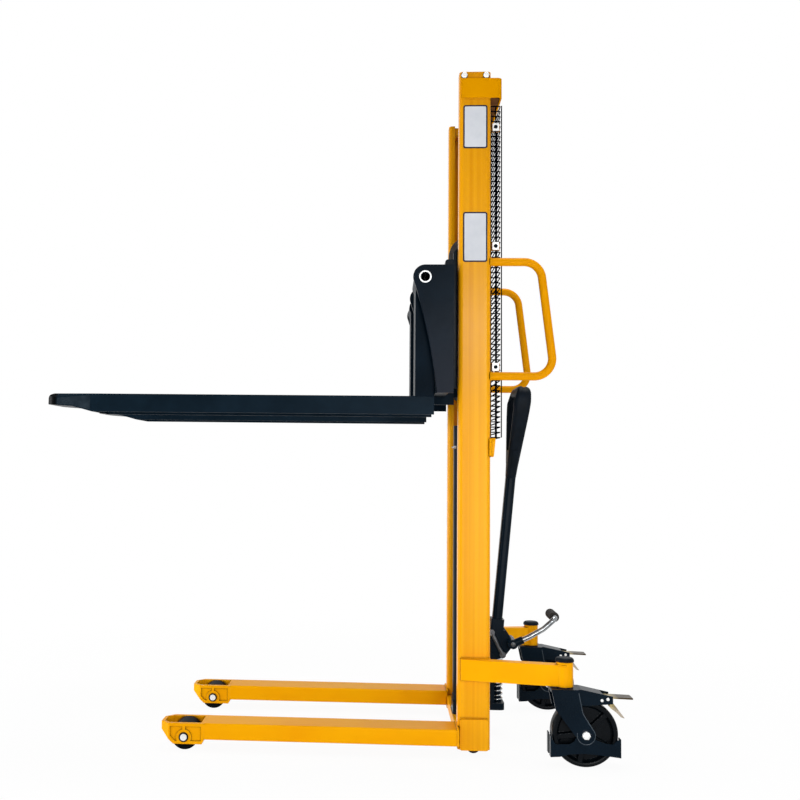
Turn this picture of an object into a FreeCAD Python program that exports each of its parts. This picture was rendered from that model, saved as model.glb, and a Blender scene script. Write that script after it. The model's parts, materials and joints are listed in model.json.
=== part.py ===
"""Hand pallet stacker: mast, straddle legs, casters, lifting carriage, forks and hydraulic lift.

Millimetres, +Z up, floor at Z = 0. The forks point to -X and the operator stands at +X.
"left" is the operator's left hand when facing the forks, which is -Y. Every X below is counted
from the front face of the mast; the whole model is moved at the end so that its origin lies
in the middle of its length.
"""
import FreeCAD, Part
import math
import os

V = FreeCAD.Vector
X_AXIS = V(1, 0, 0)
Y_AXIS = V(0, 1, 0)
Z_AXIS = V(0, 0, 1)

# Fits and gaps
RUN_FIT = 0.05            # radial clearance of a pin that turns in its bore
SLIDE_GAP = 0.4           # gap between a chain and the sheave that it lies in
SKIN_GAP = 2.0            # gap between painted parts that pass each other

# Mast: two lipped C columns that open towards each other
MAST_HEIGHT = 1980.0
MAST_WIDTH = 528.0
COLUMN_DEPTH = 92.0
COLUMN_WIDTH = 58.0
COLUMN_WALL = 6.0
COLUMN_LIP = 20.0
COLUMN_CORNER = 12.0
COLUMN_FOOT_Z = 18.0
FOOT_PLATE_HEIGHT = 86.0
FOOT_PLATE_WALL = 8.0

# Beams that join the columns at the back
BEAM_HEIGHT = 58.0
BEAM_BELOW_TOP = 21.0
BEAM_WALL = 5.0
BEAM_BACK = 32.0          # distance of the beam's outer back face behind the columns
BEAM_BEND = 14.0
CROSSBAR_HEIGHT = 55.0
CROSSBAR_DEPTH = 15.0
CROSSBAR_FOOT_DEPTH = 9.5     # at its lower edge

# Stops at the top of the columns
STOP_HEIGHT = 30.0
STOP_BELOW_TOP = 4.0
STOP_BOLT_D = 10.0
STOP_BOLT_HEAD = 16.0     # across flats
STOP_BOLT_HEAD_H = 6.5
STOP_BOLT_SPACING = 64.0

# Mesh guard: a tray of welded wire behind the mast
GUARD_HEIGHT = 979.0
GUARD_DEPTH = 37.0            # from the columns to the guard's back
GUARD_WIRE = 4.0
GUARD_GAP = 1.0               # from the columns to the guard's returns
GUARD_TOP_GAP = 22.0          # from the guard to the top beam
GUARD_ROWS = 64
GUARD_UPRIGHT_Y = 108.0       # upright wires of the back panel, from the middle
GUARD_CLAMP_SHARES = (0.212, 0.577, 0.942)
GUARD_TAB = 8.0
CLAMP_W = 20.0
CLAMP_H = 24.0
CLAMP_T = 2.5
CLAMP_SCREW_D = 6.0
CLAMP_HEAD_D = 12.0
CLAMP_HEAD_H = 5.0

# Grab handles
HANDLE_D = 24.0
HANDLE_WALL = 2.5
HANDLE_Y = 250.0
HANDLE_TOP_Z = 1414.5
HANDLE_BOTTOM_Z = 1079.5
HANDLE_TOP_REACH = 144.0      # from the back of the columns to the upper corner
HANDLE_BOTTOM_REACH = 185.0
HANDLE_BEND = 52.0

# Base
BASE_TOP_Z = 62.0
BASE_HEIGHT = 34.0
BASE_WALL = 8.0

# Wheels in general
WHEEL_HUB_WALL = 12.0

# Straddle legs and front wheels
LEG_SPACING = 480.0
LEG_WIDTH = 100.0
LEG_HEIGHT = 46.0
LEG_TOP_Z = 78.5
LEG_WALL = 5.0
AXLE_REACH = 777.0
CARRIER_FRONT = 69.0          # casting's front wall, ahead of the axle
CARRIER_BEND = 44.0           # where its sides turn inwards
CARRIER_TIP = 25.0            # half width of the front wall
CARRIER_CHIN = 39.0           # sloping cut under the front
CARRIER_CHIN_RISE = 35.0
CARRIER_ROOM_BACK = 48.0
CARRIER_HEEL = 52.0
CARRIER_BACK = 58.0
CARRIER_CHEEK = 13.0
CARRIER_FRONT_WALL = 9.0
CARRIER_POCKET = 2.5          # depth of the panels in its sides
CARRIER_RIM = 8.5
CARRIER_POCKET_CUT = 14.0
CARRIER_RIB = 8.0
CARRIER_BOSS_R = 22.0
CARRIER_BELOW = 19.0
CARRIER_TONGUE = 40.0
CARRIER_STEP = 1.0            # carrier's top below the leg's top
FRONT_WHEEL_D = 78.0
FRONT_WHEEL_GAP = 2.0
FRONT_WHEEL_EDGE = 4.0
FRONT_WHEEL_DISH = 3.0
FRONT_WHEEL_RIM = 11.0
FRONT_AXLE_D = 20.0
FRONT_COLLAR_D = 25.0
FRONT_COLLAR_H = 1.5
FRONT_END_D = 19.0
FRONT_END_H = 3.5
SUPPORT_ROLLER_D = 40.0
SUPPORT_ROLLER_W = 30.0
SUPPORT_ROLLER_LIFT = 5.0
SUPPORT_ROLLER_EDGE = 2.0
SUPPORT_ROLLER_DISH = 1.0
SUPPORT_ROLLER_RIM = 5.6
SUPPORT_AXLE_D = 12.0

# Outrigger arms and casters
ARM_BOTTOM_Z = 214.0
ARM_HEIGHT = 58.0
ARM_WALL = 5.0
ARM_FRONT = 8.0
ARM_FRONT_WIDTH = 14.0
SOCKET_D = 46.0
SOCKET_BOTTOM_Z = 213.0
SOCKET_TOP_Z = 281.0
CAP_D = 51.0
CAP_HEIGHT = 11.0
CAP_DOME = 8.0
CASTER_SPACING = 632.0
CASTER_REACH = 291.0
CASTER_TRAIL = 51.0
CASTER_WHEEL_D = 180.0
CASTER_WHEEL_W = 50.0
CASTER_WHEEL_EDGE = 8.0
CASTER_WHEEL_DISH = 12.0
CASTER_WHEEL_RIM = 14.0
CASTER_SPOKES = 5
CASTER_SPOKE_W = 18.0
CASTER_SPOKE_TURN = 43.0      # degrees from the rear to the first spoke
STEM_D = 30.0
STEM_RING = 2.0
YOKE_INNER = 62.0
YOKE_WALL = 6.0
YOKE_TOP_WALL = 8.0
YOKE_FRONT = 42.0
YOKE_BACK = 32.0
YOKE_HUB_R = 26.0
YOKE_WEB_R = 24.7             # side plate where it meets the hub, behind the axle
YOKE_WEB_RISE = 8.0
YOKE_WEB_FRONT = 28.0         # and before the axle
YOKE_FRONT_FALL = 4.0
YOKE_BEND_X = 11.0            # bend in the side plate's front edge
YOKE_BEND_DROP = 54.0
YOKE_KNEE_X = 11.0            # bend in its rear edge
YOKE_KNEE_DROP = 62.0
CASTER_AXLE_D = 20.0
CASTER_NUT_FLATS = 17.0
CASTER_NUT_H = 6.0
TOE_FRONT = -95.0             # toe guard's ends, counted from the wheel axle
TOE_BACK = 95.0
TOE_FRONT_Z = (28.0, 84.0)
TOE_BACK_Z = (30.0, 80.0)
TOE_LOW_EDGE = ((-70.0, 29.5), (-43.0, 37.0), (-2.0, 39.5), (38.0, 36.5))
TOE_HIGH_EDGE = ((85.0, 76.5), (73.0, 65.5), (54.0, 67.5), (26.0, 77.0), (20.0, 90.0), (-20.0, 90.0),
                 (-31.0, 71.5), (-43.0, 63.7), (-82.0, 62.6), (-91.0, 78.0))
TOE_TURN = 22.0               # ends turned in towards the wheel
TOE_WALL = 3.0
TOE_HUB_R = 20.0
BRAKE_END = 74.0              # brake cover, behind the wheel axle
BRAKE_PIVOT_X = 62.0
BRAKE_PIVOT_Z = 183.0
BRAKE_PIN_D = 8.0
BRAKE_COVER_WALL = 4.0
BRAKE_KNEE = 10.0             # where the cover starts to slope, before the wheel axle
BRAKE_DROP = 17.0
BRAKE_LIP = 20.0
BRAKE_CHEEK = 46.0            # depth of the cheeks at their front
BRAKE_MOUTH = 26.0            # roof ends this far before the cheeks
BRAKE_SIDE_GAP = 1.0
PEDAL_TIP_X = 130.0           # upper tongue's end, behind the wheel axle
PEDAL_TIP_Z = 185.0
PEDAL_LOW_X = 105.0
PEDAL_LOW_Z = 133.0
PEDAL_T = 4.0
PEDAL_W = 42.0

# Carriage
CARRIAGE_WIDTH = 750.0
CARRIAGE_GAP = 22.0           # from the mast to the back of the carriage
CHEEK_T = 12.0
CHEEK_BOTTOM_ABOVE_FORK = 7.0
CHEEK_FOOT = 46.0
NOSE_R = 34.0
NOSE_TURN = 205.0             # degrees round the nose where the hollow edge starts
CHEEK_SAG = 7.8               # hollow of the front edge
SHAFT_REACH = 102.0           # fork shaft, in front of the mast
SHAFT_ABOVE_FORK = 334.0
SHAFT_D = 38.0
SHAFT_BORE = 26.0
UPPER_BAR_DEPTH = 24.0
UPPER_BAR_HEIGHT = 64.0
UPPER_BAR_RISE = 51.0         # bar's top above the shaft axis
LOWER_BAR_SET = 14.0          # bar's back before the back of the carriage
LOWER_BAR_DEPTH = 36.0
LOWER_BAR_HEIGHT = 42.0
LOWER_BAR_WALL = 6.0
LOWER_BAR_RISE = 7.0          # bar's underside above the fork top
HANGER_Y = 178.0              # plates under the lower bar
HANGER_T = 8.0
HANGER_DROP = 22.0
HANGER_HEIGHT = 48.0
HANGER_BACK = 8.0             # from the mast
ROLLER_D = 79.0
ROLLER_W = 34.0
ROLLER_SIDE_GAP = 4.0
ROLLER_EDGE = 2.0
ROLLER_DISH = 2.0
ROLLER_RIM = 11.0
ROLLER_LOW = 61.0             # lower rollers above the fork top
ROLLER_HIGH = 296.0
ROLLER_PLATE_T = 10.0
STUB_D = 28.0
HORN_TOP = 453.0
HORN_SLOPE = 14.0
HORN_SETBACK = 10.0
ANCHOR_WIDTH = 32.0
ANCHOR_HEIGHT = 44.0

# Forks
FORK_TOP_Z = 1014.0           # as in the photograph
FORK_LOWERED_Z = 87.0
FORK_RAISED_Z = 1600.0
FORK_END_GAP = 27.0           # from a fork to the carriage's end cheek
FORK_LENGTH = 1116.0
FORK_WIDTH = 160.0
FORK_HEIGHT = 52.0
FORK_PLATE = 6.0
NOSE_LENGTH = 136.0
NOSE_TIP_HEIGHT = 32.0
NOSE_CORNER = 30.0
NOSE_ROUND = 25.0             # round over the tip
NOSE_LIP = 5.0
NOSE_RAMP = 58.0              # steep part of the underside
NOSE_RISE = 15.5
NOSE_BEVEL = 14.0             # of the top side edges, at the tip
SHANK_DEPTH = 54.0
SHANK_SEAT = 2.0              # step in the blade that the shank stands in
SHANK_PLATE = 10.0
SLEEVE_D = 62.0

# Lift cylinder, rod, crosshead and chain
BARREL_D = 84.0
BARREL_WALL = 7.0
BARREL_TOP_Z = 944.0
GLAND_HEIGHT = 14.0
COLLAR_HEIGHT = 18.0
COLLAR_WALL = 2.0
ROD_D = 44.0
PISTON_HEIGHT = 30.0
PISTON_GAP = 0.4
PISTON_CLEAR = 6.0            # piston below the gland when the forks are right up
CROSSHEAD_CLEAR = 3.0         # crosshead above the gland when the forks are down
CROSSHEAD_BASE = 12.0
CROSSHEAD_PLATE = 8.0
CROSSHEAD_DEPTH = 60.0
CHAIN_PITCH_R = 52.0
CHAIN_T = 12.0
CHAIN_W = 19.2
SHEAVE_FLANGE = 4.0
SHEAVE_LIP = 1.0
SHEAVE_PIN_D = 20.0

# Pump
PUMP_REAR = 158.5
PUMP_OVERHANG_Z = 78.0        # underside of the block behind the mast
PUMP_HALF_WIDTH = 48.0
PUMP_TOP_Z = 98.0
PLUNGER_X = 140.0
PLUNGER_D = 20.0
PLUNGER_STROKE = 30.0
PLUNGER_CAP_D = 38.0
PLUNGER_CAP_T = 6.0
PUMP_BOSS_D = 25.0
PUMP_BOSS_TOP_Z = 150.0
SPRING_WIRE = 4.0
SPRING_MEAN_R = 15.5
SPRING_TURNS = 8
SPRING_LEAD = 8.0             # height of the bend between the coil and its straight end
PIVOT_X = 112.0
PIVOT_Z = 232.0
PIVOT_D = 16.0
PIVOT_EAR_T = 8.0
PIVOT_EAR_GAP = 60.0
LEVER_R = 30.0
LEVER_ANGLE = 30.0
LEVER_ROLLER_D = 22.0
LEVER_ROLLER_W = 34.0

# Tiller, release trigger and foot pedal
ROCKER_PLATE = 7.0
ROCKER_INNER = 40.0
ROCKER_BELOW = 14.4           # plate below the pivot
ROCKER_NOSE = 13.2            # plate below the roller's axis
ROCKER_SHOULDER = 21.0        # plate's front corner, forward of and above the tiller's base
TILLER_BASE_X = 135.0
TILLER_BASE_Z = 286.0
TILLER_LEAN = 5.4
TILLER_X = 30.0
TILLER_Y = 40.0
TILLER_CORNER = 12.0
TILLER_WALL = 3.0
TILLER_TUBE_TOP = 520.0
SOCKET_CUP_TOP = 62.0
SOCKET_CUP_WALL = 5.0
LOOP_BOTTOM = 496.0
LOOP_TOP = 786.0
LOOP_HALF_WIDTH = 98.0
LOOP_LIMB = 27.0
LOOP_TOP_BAR = 34.0
LOOP_NECK = 24.0
LOOP_SHOULDER = 51.0          # widest place seen from the side, below the top
LOOP_CROTCH = 81.2            # lowest point of the opening above the loop's bottom
LOOP_CORNER = 37.8
LOOP_INNER_CORNER = 18.9
LOOP_BACK = 30.0
LOOP_FRONT = 22.5
LOOP_TOP_BACK = 18.0
LOOP_TOP_FRONT = 9.0
TRIGGER_W = 60.0
TRIGGER_LENGTH = 44.0
TRIGGER_T = 6.0
TRIGGER_PIN_D = 7.0
TRIGGER_BARREL_D = 13.0
TRIGGER_EAR = 6.0
TRIGGER_SIDE_GAP = 1.0
HUB_X = 183.0
HUB_Z = 278.0
HUB_D = 28.0
PEDAL_Y = -50.0
PEDAL_ROD_D = 16.0
PEDAL_KNEES = ((230.0, 299.0), (275.0, 325.0))
PAD_X = 312.0
PAD_Z = 358.0
PAD_D = 30.0
PAD_LENGTH = 84.0
PAD_START_Y = -30.0
LINK_D = 12.0
LINK_EYE_D = 19.0
LINK_EYE_W = 10.0
LINK_Y = -34.0
LINK_TOP = (120.0, 309.0)
LINK_BOTTOM = (154.0, 242.0)

# Worked-out places
COLUMN_OUT = MAST_WIDTH / 2
COLUMN_IN = COLUMN_OUT - COLUMN_WIDTH
COLUMN_MID_X = COLUMN_DEPTH / 2
CARRIAGE_BACK_X = -CARRIAGE_GAP
CROSSBAR_TOP_Z = MAST_HEIGHT - BEAM_BELOW_TOP - BEAM_HEIGHT - GUARD_TOP_GAP - GUARD_HEIGHT
SHAFT_X = -SHAFT_REACH
SHAFT_Z = FORK_TOP_Z + SHAFT_ABOVE_FORK
LOWER_BAR_BACK_X = CARRIAGE_BACK_X - LOWER_BAR_SET
LOWER_BAR_FRONT_X = LOWER_BAR_BACK_X - LOWER_BAR_DEPTH
LOWER_BAR_Z = FORK_TOP_Z + LOWER_BAR_RISE
HEEL_X = LOWER_BAR_FRONT_X - SKIN_GAP
FORK_TIP_X = HEEL_X - FORK_LENGTH
CHEEK_OUT = CARRIAGE_WIDTH / 2
CHEEK_IN = CHEEK_OUT - CHEEK_T
FORK_SPACING = 2 * (CHEEK_IN - FORK_END_GAP) - FORK_WIDTH
CASTER_HUB_X = CASTER_REACH + CASTER_TRAIL
REAR_TIP_X = CASTER_HUB_X + PEDAL_TIP_X
ORIGIN_SHIFT = V(-(FORK_TIP_X + REAR_TIP_X) / 2, 0, 0)
CYLINDER_X = COLUMN_MID_X
CHAIN_INNER_R = CHAIN_PITCH_R - CHAIN_T / 2
CHAIN_OUTER_R = CHAIN_PITCH_R + CHAIN_T / 2
SHEAVE_R = CHAIN_OUTER_R + SHEAVE_LIP
ROD_REST = (FORK_TOP_Z - FORK_LOWERED_Z) / 2
ROD_LENGTH = ((FORK_RAISED_Z - FORK_LOWERED_Z) / 2 + CROSSHEAD_CLEAR + GLAND_HEIGHT + PISTON_HEIGHT
              + PISTON_CLEAR)
SHEAVE_TO_BASE = SHEAVE_R + SKIN_GAP + CROSSHEAD_BASE
SHEAVE_Z = BARREL_TOP_Z + CROSSHEAD_CLEAR + SHEAVE_TO_BASE + ROD_REST
BEAM_BACK_X = COLUMN_DEPTH + BEAM_BACK
GUARD_BACK_X = COLUMN_DEPTH + GUARD_DEPTH
GUARD_OUT = HANDLE_Y - HANDLE_D / 2 - SKIN_GAP
GUARD_FRONT_X = COLUMN_DEPTH + GUARD_GAP
CLAMP_X = (GUARD_FRONT_X + GUARD_BACK_X - GUARD_WIRE) / 2
LEVER_ROLLER_X = PIVOT_X + LEVER_R * math.cos(math.radians(LEVER_ANGLE))
LEVER_ROLLER_Z = PIVOT_Z + LEVER_R * math.sin(math.radians(LEVER_ANGLE))
PLUNGER_TOP_Z = LEVER_ROLLER_Z - LEVER_ROLLER_D / 2 - SLIDE_GAP
CAP_UNDER_Z = PLUNGER_TOP_Z - 2 * PLUNGER_CAP_T


def box(x0, x1, y0, y1, z0, z1):
    """Block between two corners."""
    return Part.makeBox(x1 - x0, y1 - y0, z1 - z0, V(x0, y0, z0))


def rod(start, end, radius):
    """Round bar from one point to another."""
    along = end - start
    return Part.makeCylinder(radius, along.Length, start, along)


def rod_y(x, z, y0, y1, radius):
    """Round bar across the machine."""
    return rod(V(x, y0, z), V(x, y1, z), radius)


def plate(points, y0, y1):
    """Flat plate whose outline, a list of (x, z), runs from y0 to y1."""
    corners = [V(x, y0, z) for x, z in points]
    return Part.Face(Part.makePolygon(corners + corners[:1])).extrude(V(0, y1 - y0, 0))


def outline_plate(edges, depth):
    """Plate from joined edges, pushed along a vector."""
    return Part.Face(Part.Wire(edges)).extrude(depth)


def line(a, b):
    """Straight edge."""
    return Part.LineSegment(a, b).toShape()


def arc(a, mid, b):
    """Round edge through three points."""
    return Part.Arc(a, mid, b).toShape()


def edges_along(shape, axis):
    """Straight edges of a shape that run along an axis."""
    found = []
    for edge in shape.Edges:
        if isinstance(edge.Curve, Part.Line):
            run = edge.Vertexes[1].Point - edge.Vertexes[0].Point
            if run.cross(axis).Length < 1e-6 * run.Length:
                found.append(edge)
    return found


def rounded(shape, axis, radius):
    """Shape with all its edges along one axis rounded."""
    return shape.makeFillet(radius, edges_along(shape, axis))


def union(first, *others):
    """One solid from touching pieces."""
    return first.multiFuse(list(others)).removeSplitter()


def mirrored(shape):
    """The same piece on the other side of the machine."""
    return shape.mirror(V(0, 0, 0), Y_AXIS)


def turned(shape, point, degrees):
    """Piece turned about a cross axis: positive leans to the rear."""
    copy = shape.copy()
    copy.rotate(point, Y_AXIS, degrees)
    return copy


def save(node, *solids):
    """Write one node, moved so that the origin is at the middle of the length."""
    shape = solids[0] if len(solids) == 1 else Part.makeCompound(list(solids))
    shape = shape.copy()
    shape.translate(ORIGIN_SHIFT)
    for solid in shape.Solids:
        if not solid.isValid() or solid.Volume <= 0:
            raise ValueError("bad solid in " + node)
    shape.exportStep("parts/" + node + ".step")


def save_pair(node, shape):
    """Write a left piece and its mirror image as two nodes."""
    save(node + "_left", shape)
    save(node + "_right", mirrored(shape))


def bent_path(points, bend):
    """Straight runs joined by tangent arcs of one radius."""
    edges = []
    last = points[0]
    for before, corner, after in zip(points, points[1:], points[2:]):
        back = (before - corner).normalize()
        ahead = (after - corner).normalize()
        half = back.getAngle(ahead) / 2
        setback = bend / math.tan(half)
        middle = (back + ahead).normalize()
        start = corner + back * setback
        end = corner + ahead * setback
        edges.append(line(last, start))
        edges.append(arc(start, corner + middle * (bend / math.sin(half) - bend), end))
        last = end
    edges.append(line(last, points[-1]))
    return Part.Wire(edges)


def sweep_round(path, radius):
    """Round bar along a path of runs and arcs."""
    start = path.Edges[0].valueAt(path.Edges[0].FirstParameter)
    heading = path.Edges[0].tangentAt(path.Edges[0].FirstParameter)
    ring = Part.Wire(Part.makeCircle(radius, start, heading))
    return Part.Solid(path.makePipeShell([ring], True, False))


def hex_head(x, y0, z, flats, height):
    """Hexagon head on a cross axis."""
    corner_r = flats / math.sqrt(3)
    corners = []
    for step in range(6):
        angle = math.radians(60 * step)
        corners.append((x + corner_r * math.cos(angle), z + corner_r * math.sin(angle)))
    return plate(corners, y0, y0 + height)


# Mast

def mast_column():
    """Left column: a lipped C kept as its walls, so that the channel stays open, and tabs for the guard."""
    outer = rounded(box(0, COLUMN_DEPTH, -COLUMN_OUT, -COLUMN_IN, COLUMN_FOOT_Z, MAST_HEIGHT),
                    Z_AXIS, COLUMN_CORNER)
    wall = COLUMN_WALL
    inner = rounded(box(wall, COLUMN_DEPTH - wall, -COLUMN_OUT + wall, -COLUMN_IN - wall,
                        0, MAST_HEIGHT + wall), Z_AXIS, COLUMN_CORNER - wall)
    slot = box(COLUMN_LIP, COLUMN_DEPTH - COLUMN_LIP, -COLUMN_IN - 2 * wall, -COLUMN_IN + wall,
               0, MAST_HEIGHT + wall)
    shape = outer.cut(inner).cut(slot).cut(support_hole())
    for x in stop_bolt_places():
        shape = shape.cut(rod_y(x, stop_bolt_z(), -COLUMN_OUT - wall, -COLUMN_OUT + 2 * wall,
                                STOP_BOLT_D / 2 + RUN_FIT))
    return column_walls(shape) + [guard_tab(share) for share in GUARD_CLAMP_SHARES]


def column_walls(shape):
    """The C cut along its length into its web, flanges, lips and the bends between them."""
    front, back = (0, COLUMN_CORNER), (COLUMN_DEPTH - COLUMN_CORNER, COLUMN_DEPTH)
    web, lips = -COLUMN_OUT + COLUMN_CORNER, -COLUMN_IN - COLUMN_CORNER
    spans = [(front[1], back[0], -COLUMN_OUT, web), (front[1], COLUMN_LIP, lips, -COLUMN_IN),
             (COLUMN_DEPTH - COLUMN_LIP, back[0], lips, -COLUMN_IN)]
    for x0, x1 in (front, back):
        spans += [(x0, x1, -COLUMN_OUT, web), (x0, x1, web, lips), (x0, x1, lips, -COLUMN_IN)]
    return [shape.common(box(*span, COLUMN_FOOT_Z, MAST_HEIGHT)).Solids[0] for span in spans]


def guard_tab(share):
    """Tab on the back of the left column that a screw of the guard goes into."""
    z = clamp_z(share)
    tab = box(COLUMN_DEPTH, GUARD_BACK_X - 2 * GUARD_WIRE, -GUARD_OUT + GUARD_WIRE,
              -GUARD_OUT + GUARD_WIRE + GUARD_TAB, z - CLAMP_H / 2, z + CLAMP_H / 2)
    return tab.cut(clamp_hole(share))


def clamp_z(share):
    """Height of a clamp, given as a share of the guard's height."""
    return CROSSBAR_TOP_Z + share * GUARD_HEIGHT


def clamp_hole(share):
    """Screw hole through guard, washer and tab."""
    return rod_y(CLAMP_X, clamp_z(share), -GUARD_OUT - 2 * CLAMP_HEAD_H,
                 -GUARD_OUT + GUARD_WIRE + 2 * GUARD_TAB, CLAMP_SCREW_D / 2 + RUN_FIT)


def stop_bolt_places():
    """X of the two stop bolts of a column."""
    return (COLUMN_MID_X - STOP_BOLT_SPACING / 2, COLUMN_MID_X + STOP_BOLT_SPACING / 2)


def stop_bolt_z():
    """Height of the stop bolts."""
    return MAST_HEIGHT - STOP_BOLT_HEAD / math.sqrt(3) - SKIN_GAP


def stop_block():
    """Block that ends the rollers' travel inside the left column."""
    gap = COLUMN_WALL + SKIN_GAP
    top = MAST_HEIGHT - STOP_BELOW_TOP
    shape = box(gap, COLUMN_DEPTH - gap, -COLUMN_OUT + COLUMN_WALL, -COLUMN_IN - gap,
                top - STOP_HEIGHT, top)
    shape = rounded(shape, Z_AXIS, COLUMN_CORNER - COLUMN_WALL)
    for x in stop_bolt_places():
        shape = shape.cut(rod_y(x, stop_bolt_z(), -COLUMN_OUT, -COLUMN_IN, STOP_BOLT_D / 2 + RUN_FIT))
    return shape


def stop_bolts():
    """Hexagon bolts of the left stop block."""
    bolts = []
    for x in stop_bolt_places():
        head = hex_head(x, -COLUMN_OUT - STOP_BOLT_HEAD_H, stop_bolt_z(), STOP_BOLT_HEAD,
                        STOP_BOLT_HEAD_H)
        shank = rod_y(x, stop_bolt_z(), -COLUMN_OUT, -COLUMN_IN - COLUMN_WALL - 2 * SKIN_GAP,
                      STOP_BOLT_D / 2)
        bolts.append(union(head, shank))
    return bolts


def top_beam():
    """Bent plate that wraps both columns and crosses behind them."""
    top = MAST_HEIGHT - BEAM_BELOW_TOP
    side = COLUMN_OUT + BEAM_WALL
    front = COLUMN_CORNER / 2
    outer = box(front, BEAM_BACK_X, -side, side, top - BEAM_HEIGHT, top)
    corners = [e for e in edges_along(outer, Z_AXIS) if e.Vertexes[0].X > front + 1]
    outer = outer.makeFillet(BEAM_BEND, corners)
    inner = box(front - 1, BEAM_BACK_X - BEAM_WALL, -COLUMN_OUT, COLUMN_OUT,
                top - BEAM_HEIGHT - 1, top + 1)
    corners = [e for e in edges_along(inner, Z_AXIS) if e.Vertexes[0].X > front + 1]
    inner = inner.makeFillet(BEAM_BEND - BEAM_WALL, corners)
    return outer.cut(inner)


def rear_crossbar():
    """Flat bar across the back of the columns: it carries the guard and the chain's fixed end."""
    low = CROSSBAR_TOP_Z - CROSSBAR_HEIGHT
    shape = plate([(COLUMN_DEPTH, CROSSBAR_TOP_Z), (COLUMN_DEPTH + CROSSBAR_DEPTH, CROSSBAR_TOP_Z),
                   (COLUMN_DEPTH + CROSSBAR_FOOT_DEPTH, low), (COLUMN_DEPTH, low)], -COLUMN_OUT, COLUMN_OUT)
    return rounded(shape, X_AXIS, COLUMN_CORNER)


def net(uprights, kept):
    """Flat net in its own XZ plane: upright bars at the given places, with rows of gaps between them."""
    half = GUARD_WIRE / 2
    left, right = uprights[0] - half, uprights[-1] + half
    wires = [Part.makePolygon([V(left, 0, 0), V(right, 0, 0), V(right, 0, GUARD_HEIGHT),
                               V(left, 0, GUARD_HEIGHT), V(left, 0, 0)])]
    step = (GUARD_HEIGHT - GUARD_WIRE) / GUARD_ROWS
    for row in range(GUARD_ROWS):
        z0 = GUARD_WIRE + row * step
        z1 = z0 + step - GUARD_WIRE
        if any(z0 - step < share * GUARD_HEIGHT < z1 + step for share in kept):
            continue
        for before, after in zip(uprights, uprights[1:]):
            x0, x1 = before + half, after - half
            wires.append(Part.makePolygon([V(x0, 0, z0), V(x1, 0, z0), V(x1, 0, z1), V(x0, 0, z1),
                                           V(x0, 0, z0)]))
    return Part.makeFace(wires, "Part::FaceMakerBullseye").extrude(V(0, GUARD_WIRE, 0))


def guard_panel():
    """Back panel of the guard."""
    side = GUARD_OUT - GUARD_WIRE / 2
    panel = net((-side, -GUARD_UPRIGHT_Y, GUARD_UPRIGHT_Y, side), ())
    panel.rotate(V(0, 0, 0), Z_AXIS, 90)
    panel.translate(V(GUARD_BACK_X, 0, CROSSBAR_TOP_Z))
    return panel


def guard_return():
    """Left return of the guard, from its back panel towards the column."""
    half = GUARD_WIRE / 2
    side = net((GUARD_FRONT_X + half, CLAMP_X, GUARD_BACK_X - GUARD_WIRE - half), GUARD_CLAMP_SHARES)
    side.translate(V(0, -GUARD_OUT, CROSSBAR_TOP_Z))
    for share in GUARD_CLAMP_SHARES:
        side = side.cut(clamp_hole(share))
    return side


def guard_clamps():
    """Square washers and screws that hold the left edge of the guard."""
    pieces = []
    for share in GUARD_CLAMP_SHARES:
        z = clamp_z(share)
        washer = box(CLAMP_X - CLAMP_W / 2, CLAMP_X + CLAMP_W / 2, -GUARD_OUT - CLAMP_T, -GUARD_OUT,
                     z - CLAMP_H / 2, z + CLAMP_H / 2)
        washer = rounded(washer, Y_AXIS, CLAMP_T)
        pieces.append(washer.cut(clamp_hole(share)))
        head = rod_y(CLAMP_X, z, -GUARD_OUT - CLAMP_T - CLAMP_HEAD_H, -GUARD_OUT - CLAMP_T,
                     CLAMP_HEAD_D / 2)
        shank = rod_y(CLAMP_X, z, -GUARD_OUT - CLAMP_T, -GUARD_OUT + GUARD_WIRE + GUARD_TAB,
                      CLAMP_SCREW_D / 2)
        pieces.append(union(head, shank))
    return pieces


def grab_handle():
    """Left grab handle: a bent tube on the back of the column."""
    points = [V(COLUMN_DEPTH, -HANDLE_Y, HANDLE_TOP_Z),
              V(COLUMN_DEPTH + HANDLE_TOP_REACH, -HANDLE_Y, HANDLE_TOP_Z),
              V(COLUMN_DEPTH + HANDLE_BOTTOM_REACH, -HANDLE_Y, HANDLE_BOTTOM_Z),
              V(COLUMN_DEPTH, -HANDLE_Y, HANDLE_BOTTOM_Z)]
    path = bent_path(points, HANDLE_BEND)
    return sweep_round(path, HANDLE_D / 2).cut(sweep_round(path, HANDLE_D / 2 - HANDLE_WALL))


# Base, legs and front wheels

def base_crossmember():
    """Downward channel between the column feet, which carries the pump."""
    bottom = BASE_TOP_Z - BASE_HEIGHT
    outer = box(0, COLUMN_DEPTH, -COLUMN_IN, COLUMN_IN, bottom, BASE_TOP_Z)
    inner = box(BASE_WALL, COLUMN_DEPTH - BASE_WALL, -COLUMN_IN, COLUMN_IN, bottom,
                BASE_TOP_Z - BASE_WALL)
    return outer.cut(inner)


def leg():
    """Left straddle leg: a box tube."""
    y = -LEG_SPACING / 2
    half = LEG_WIDTH / 2
    bottom = LEG_TOP_Z - LEG_HEIGHT
    front = -AXLE_REACH + CARRIER_BACK
    outer = rounded(box(front, 0, y - half, y + half, bottom, LEG_TOP_Z), X_AXIS, LEG_WALL)
    inner = box(front, 0, y - half + LEG_WALL, y + half - LEG_WALL, bottom + LEG_WALL,
                LEG_TOP_Z - LEG_WALL)
    return outer.cut(inner)


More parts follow.
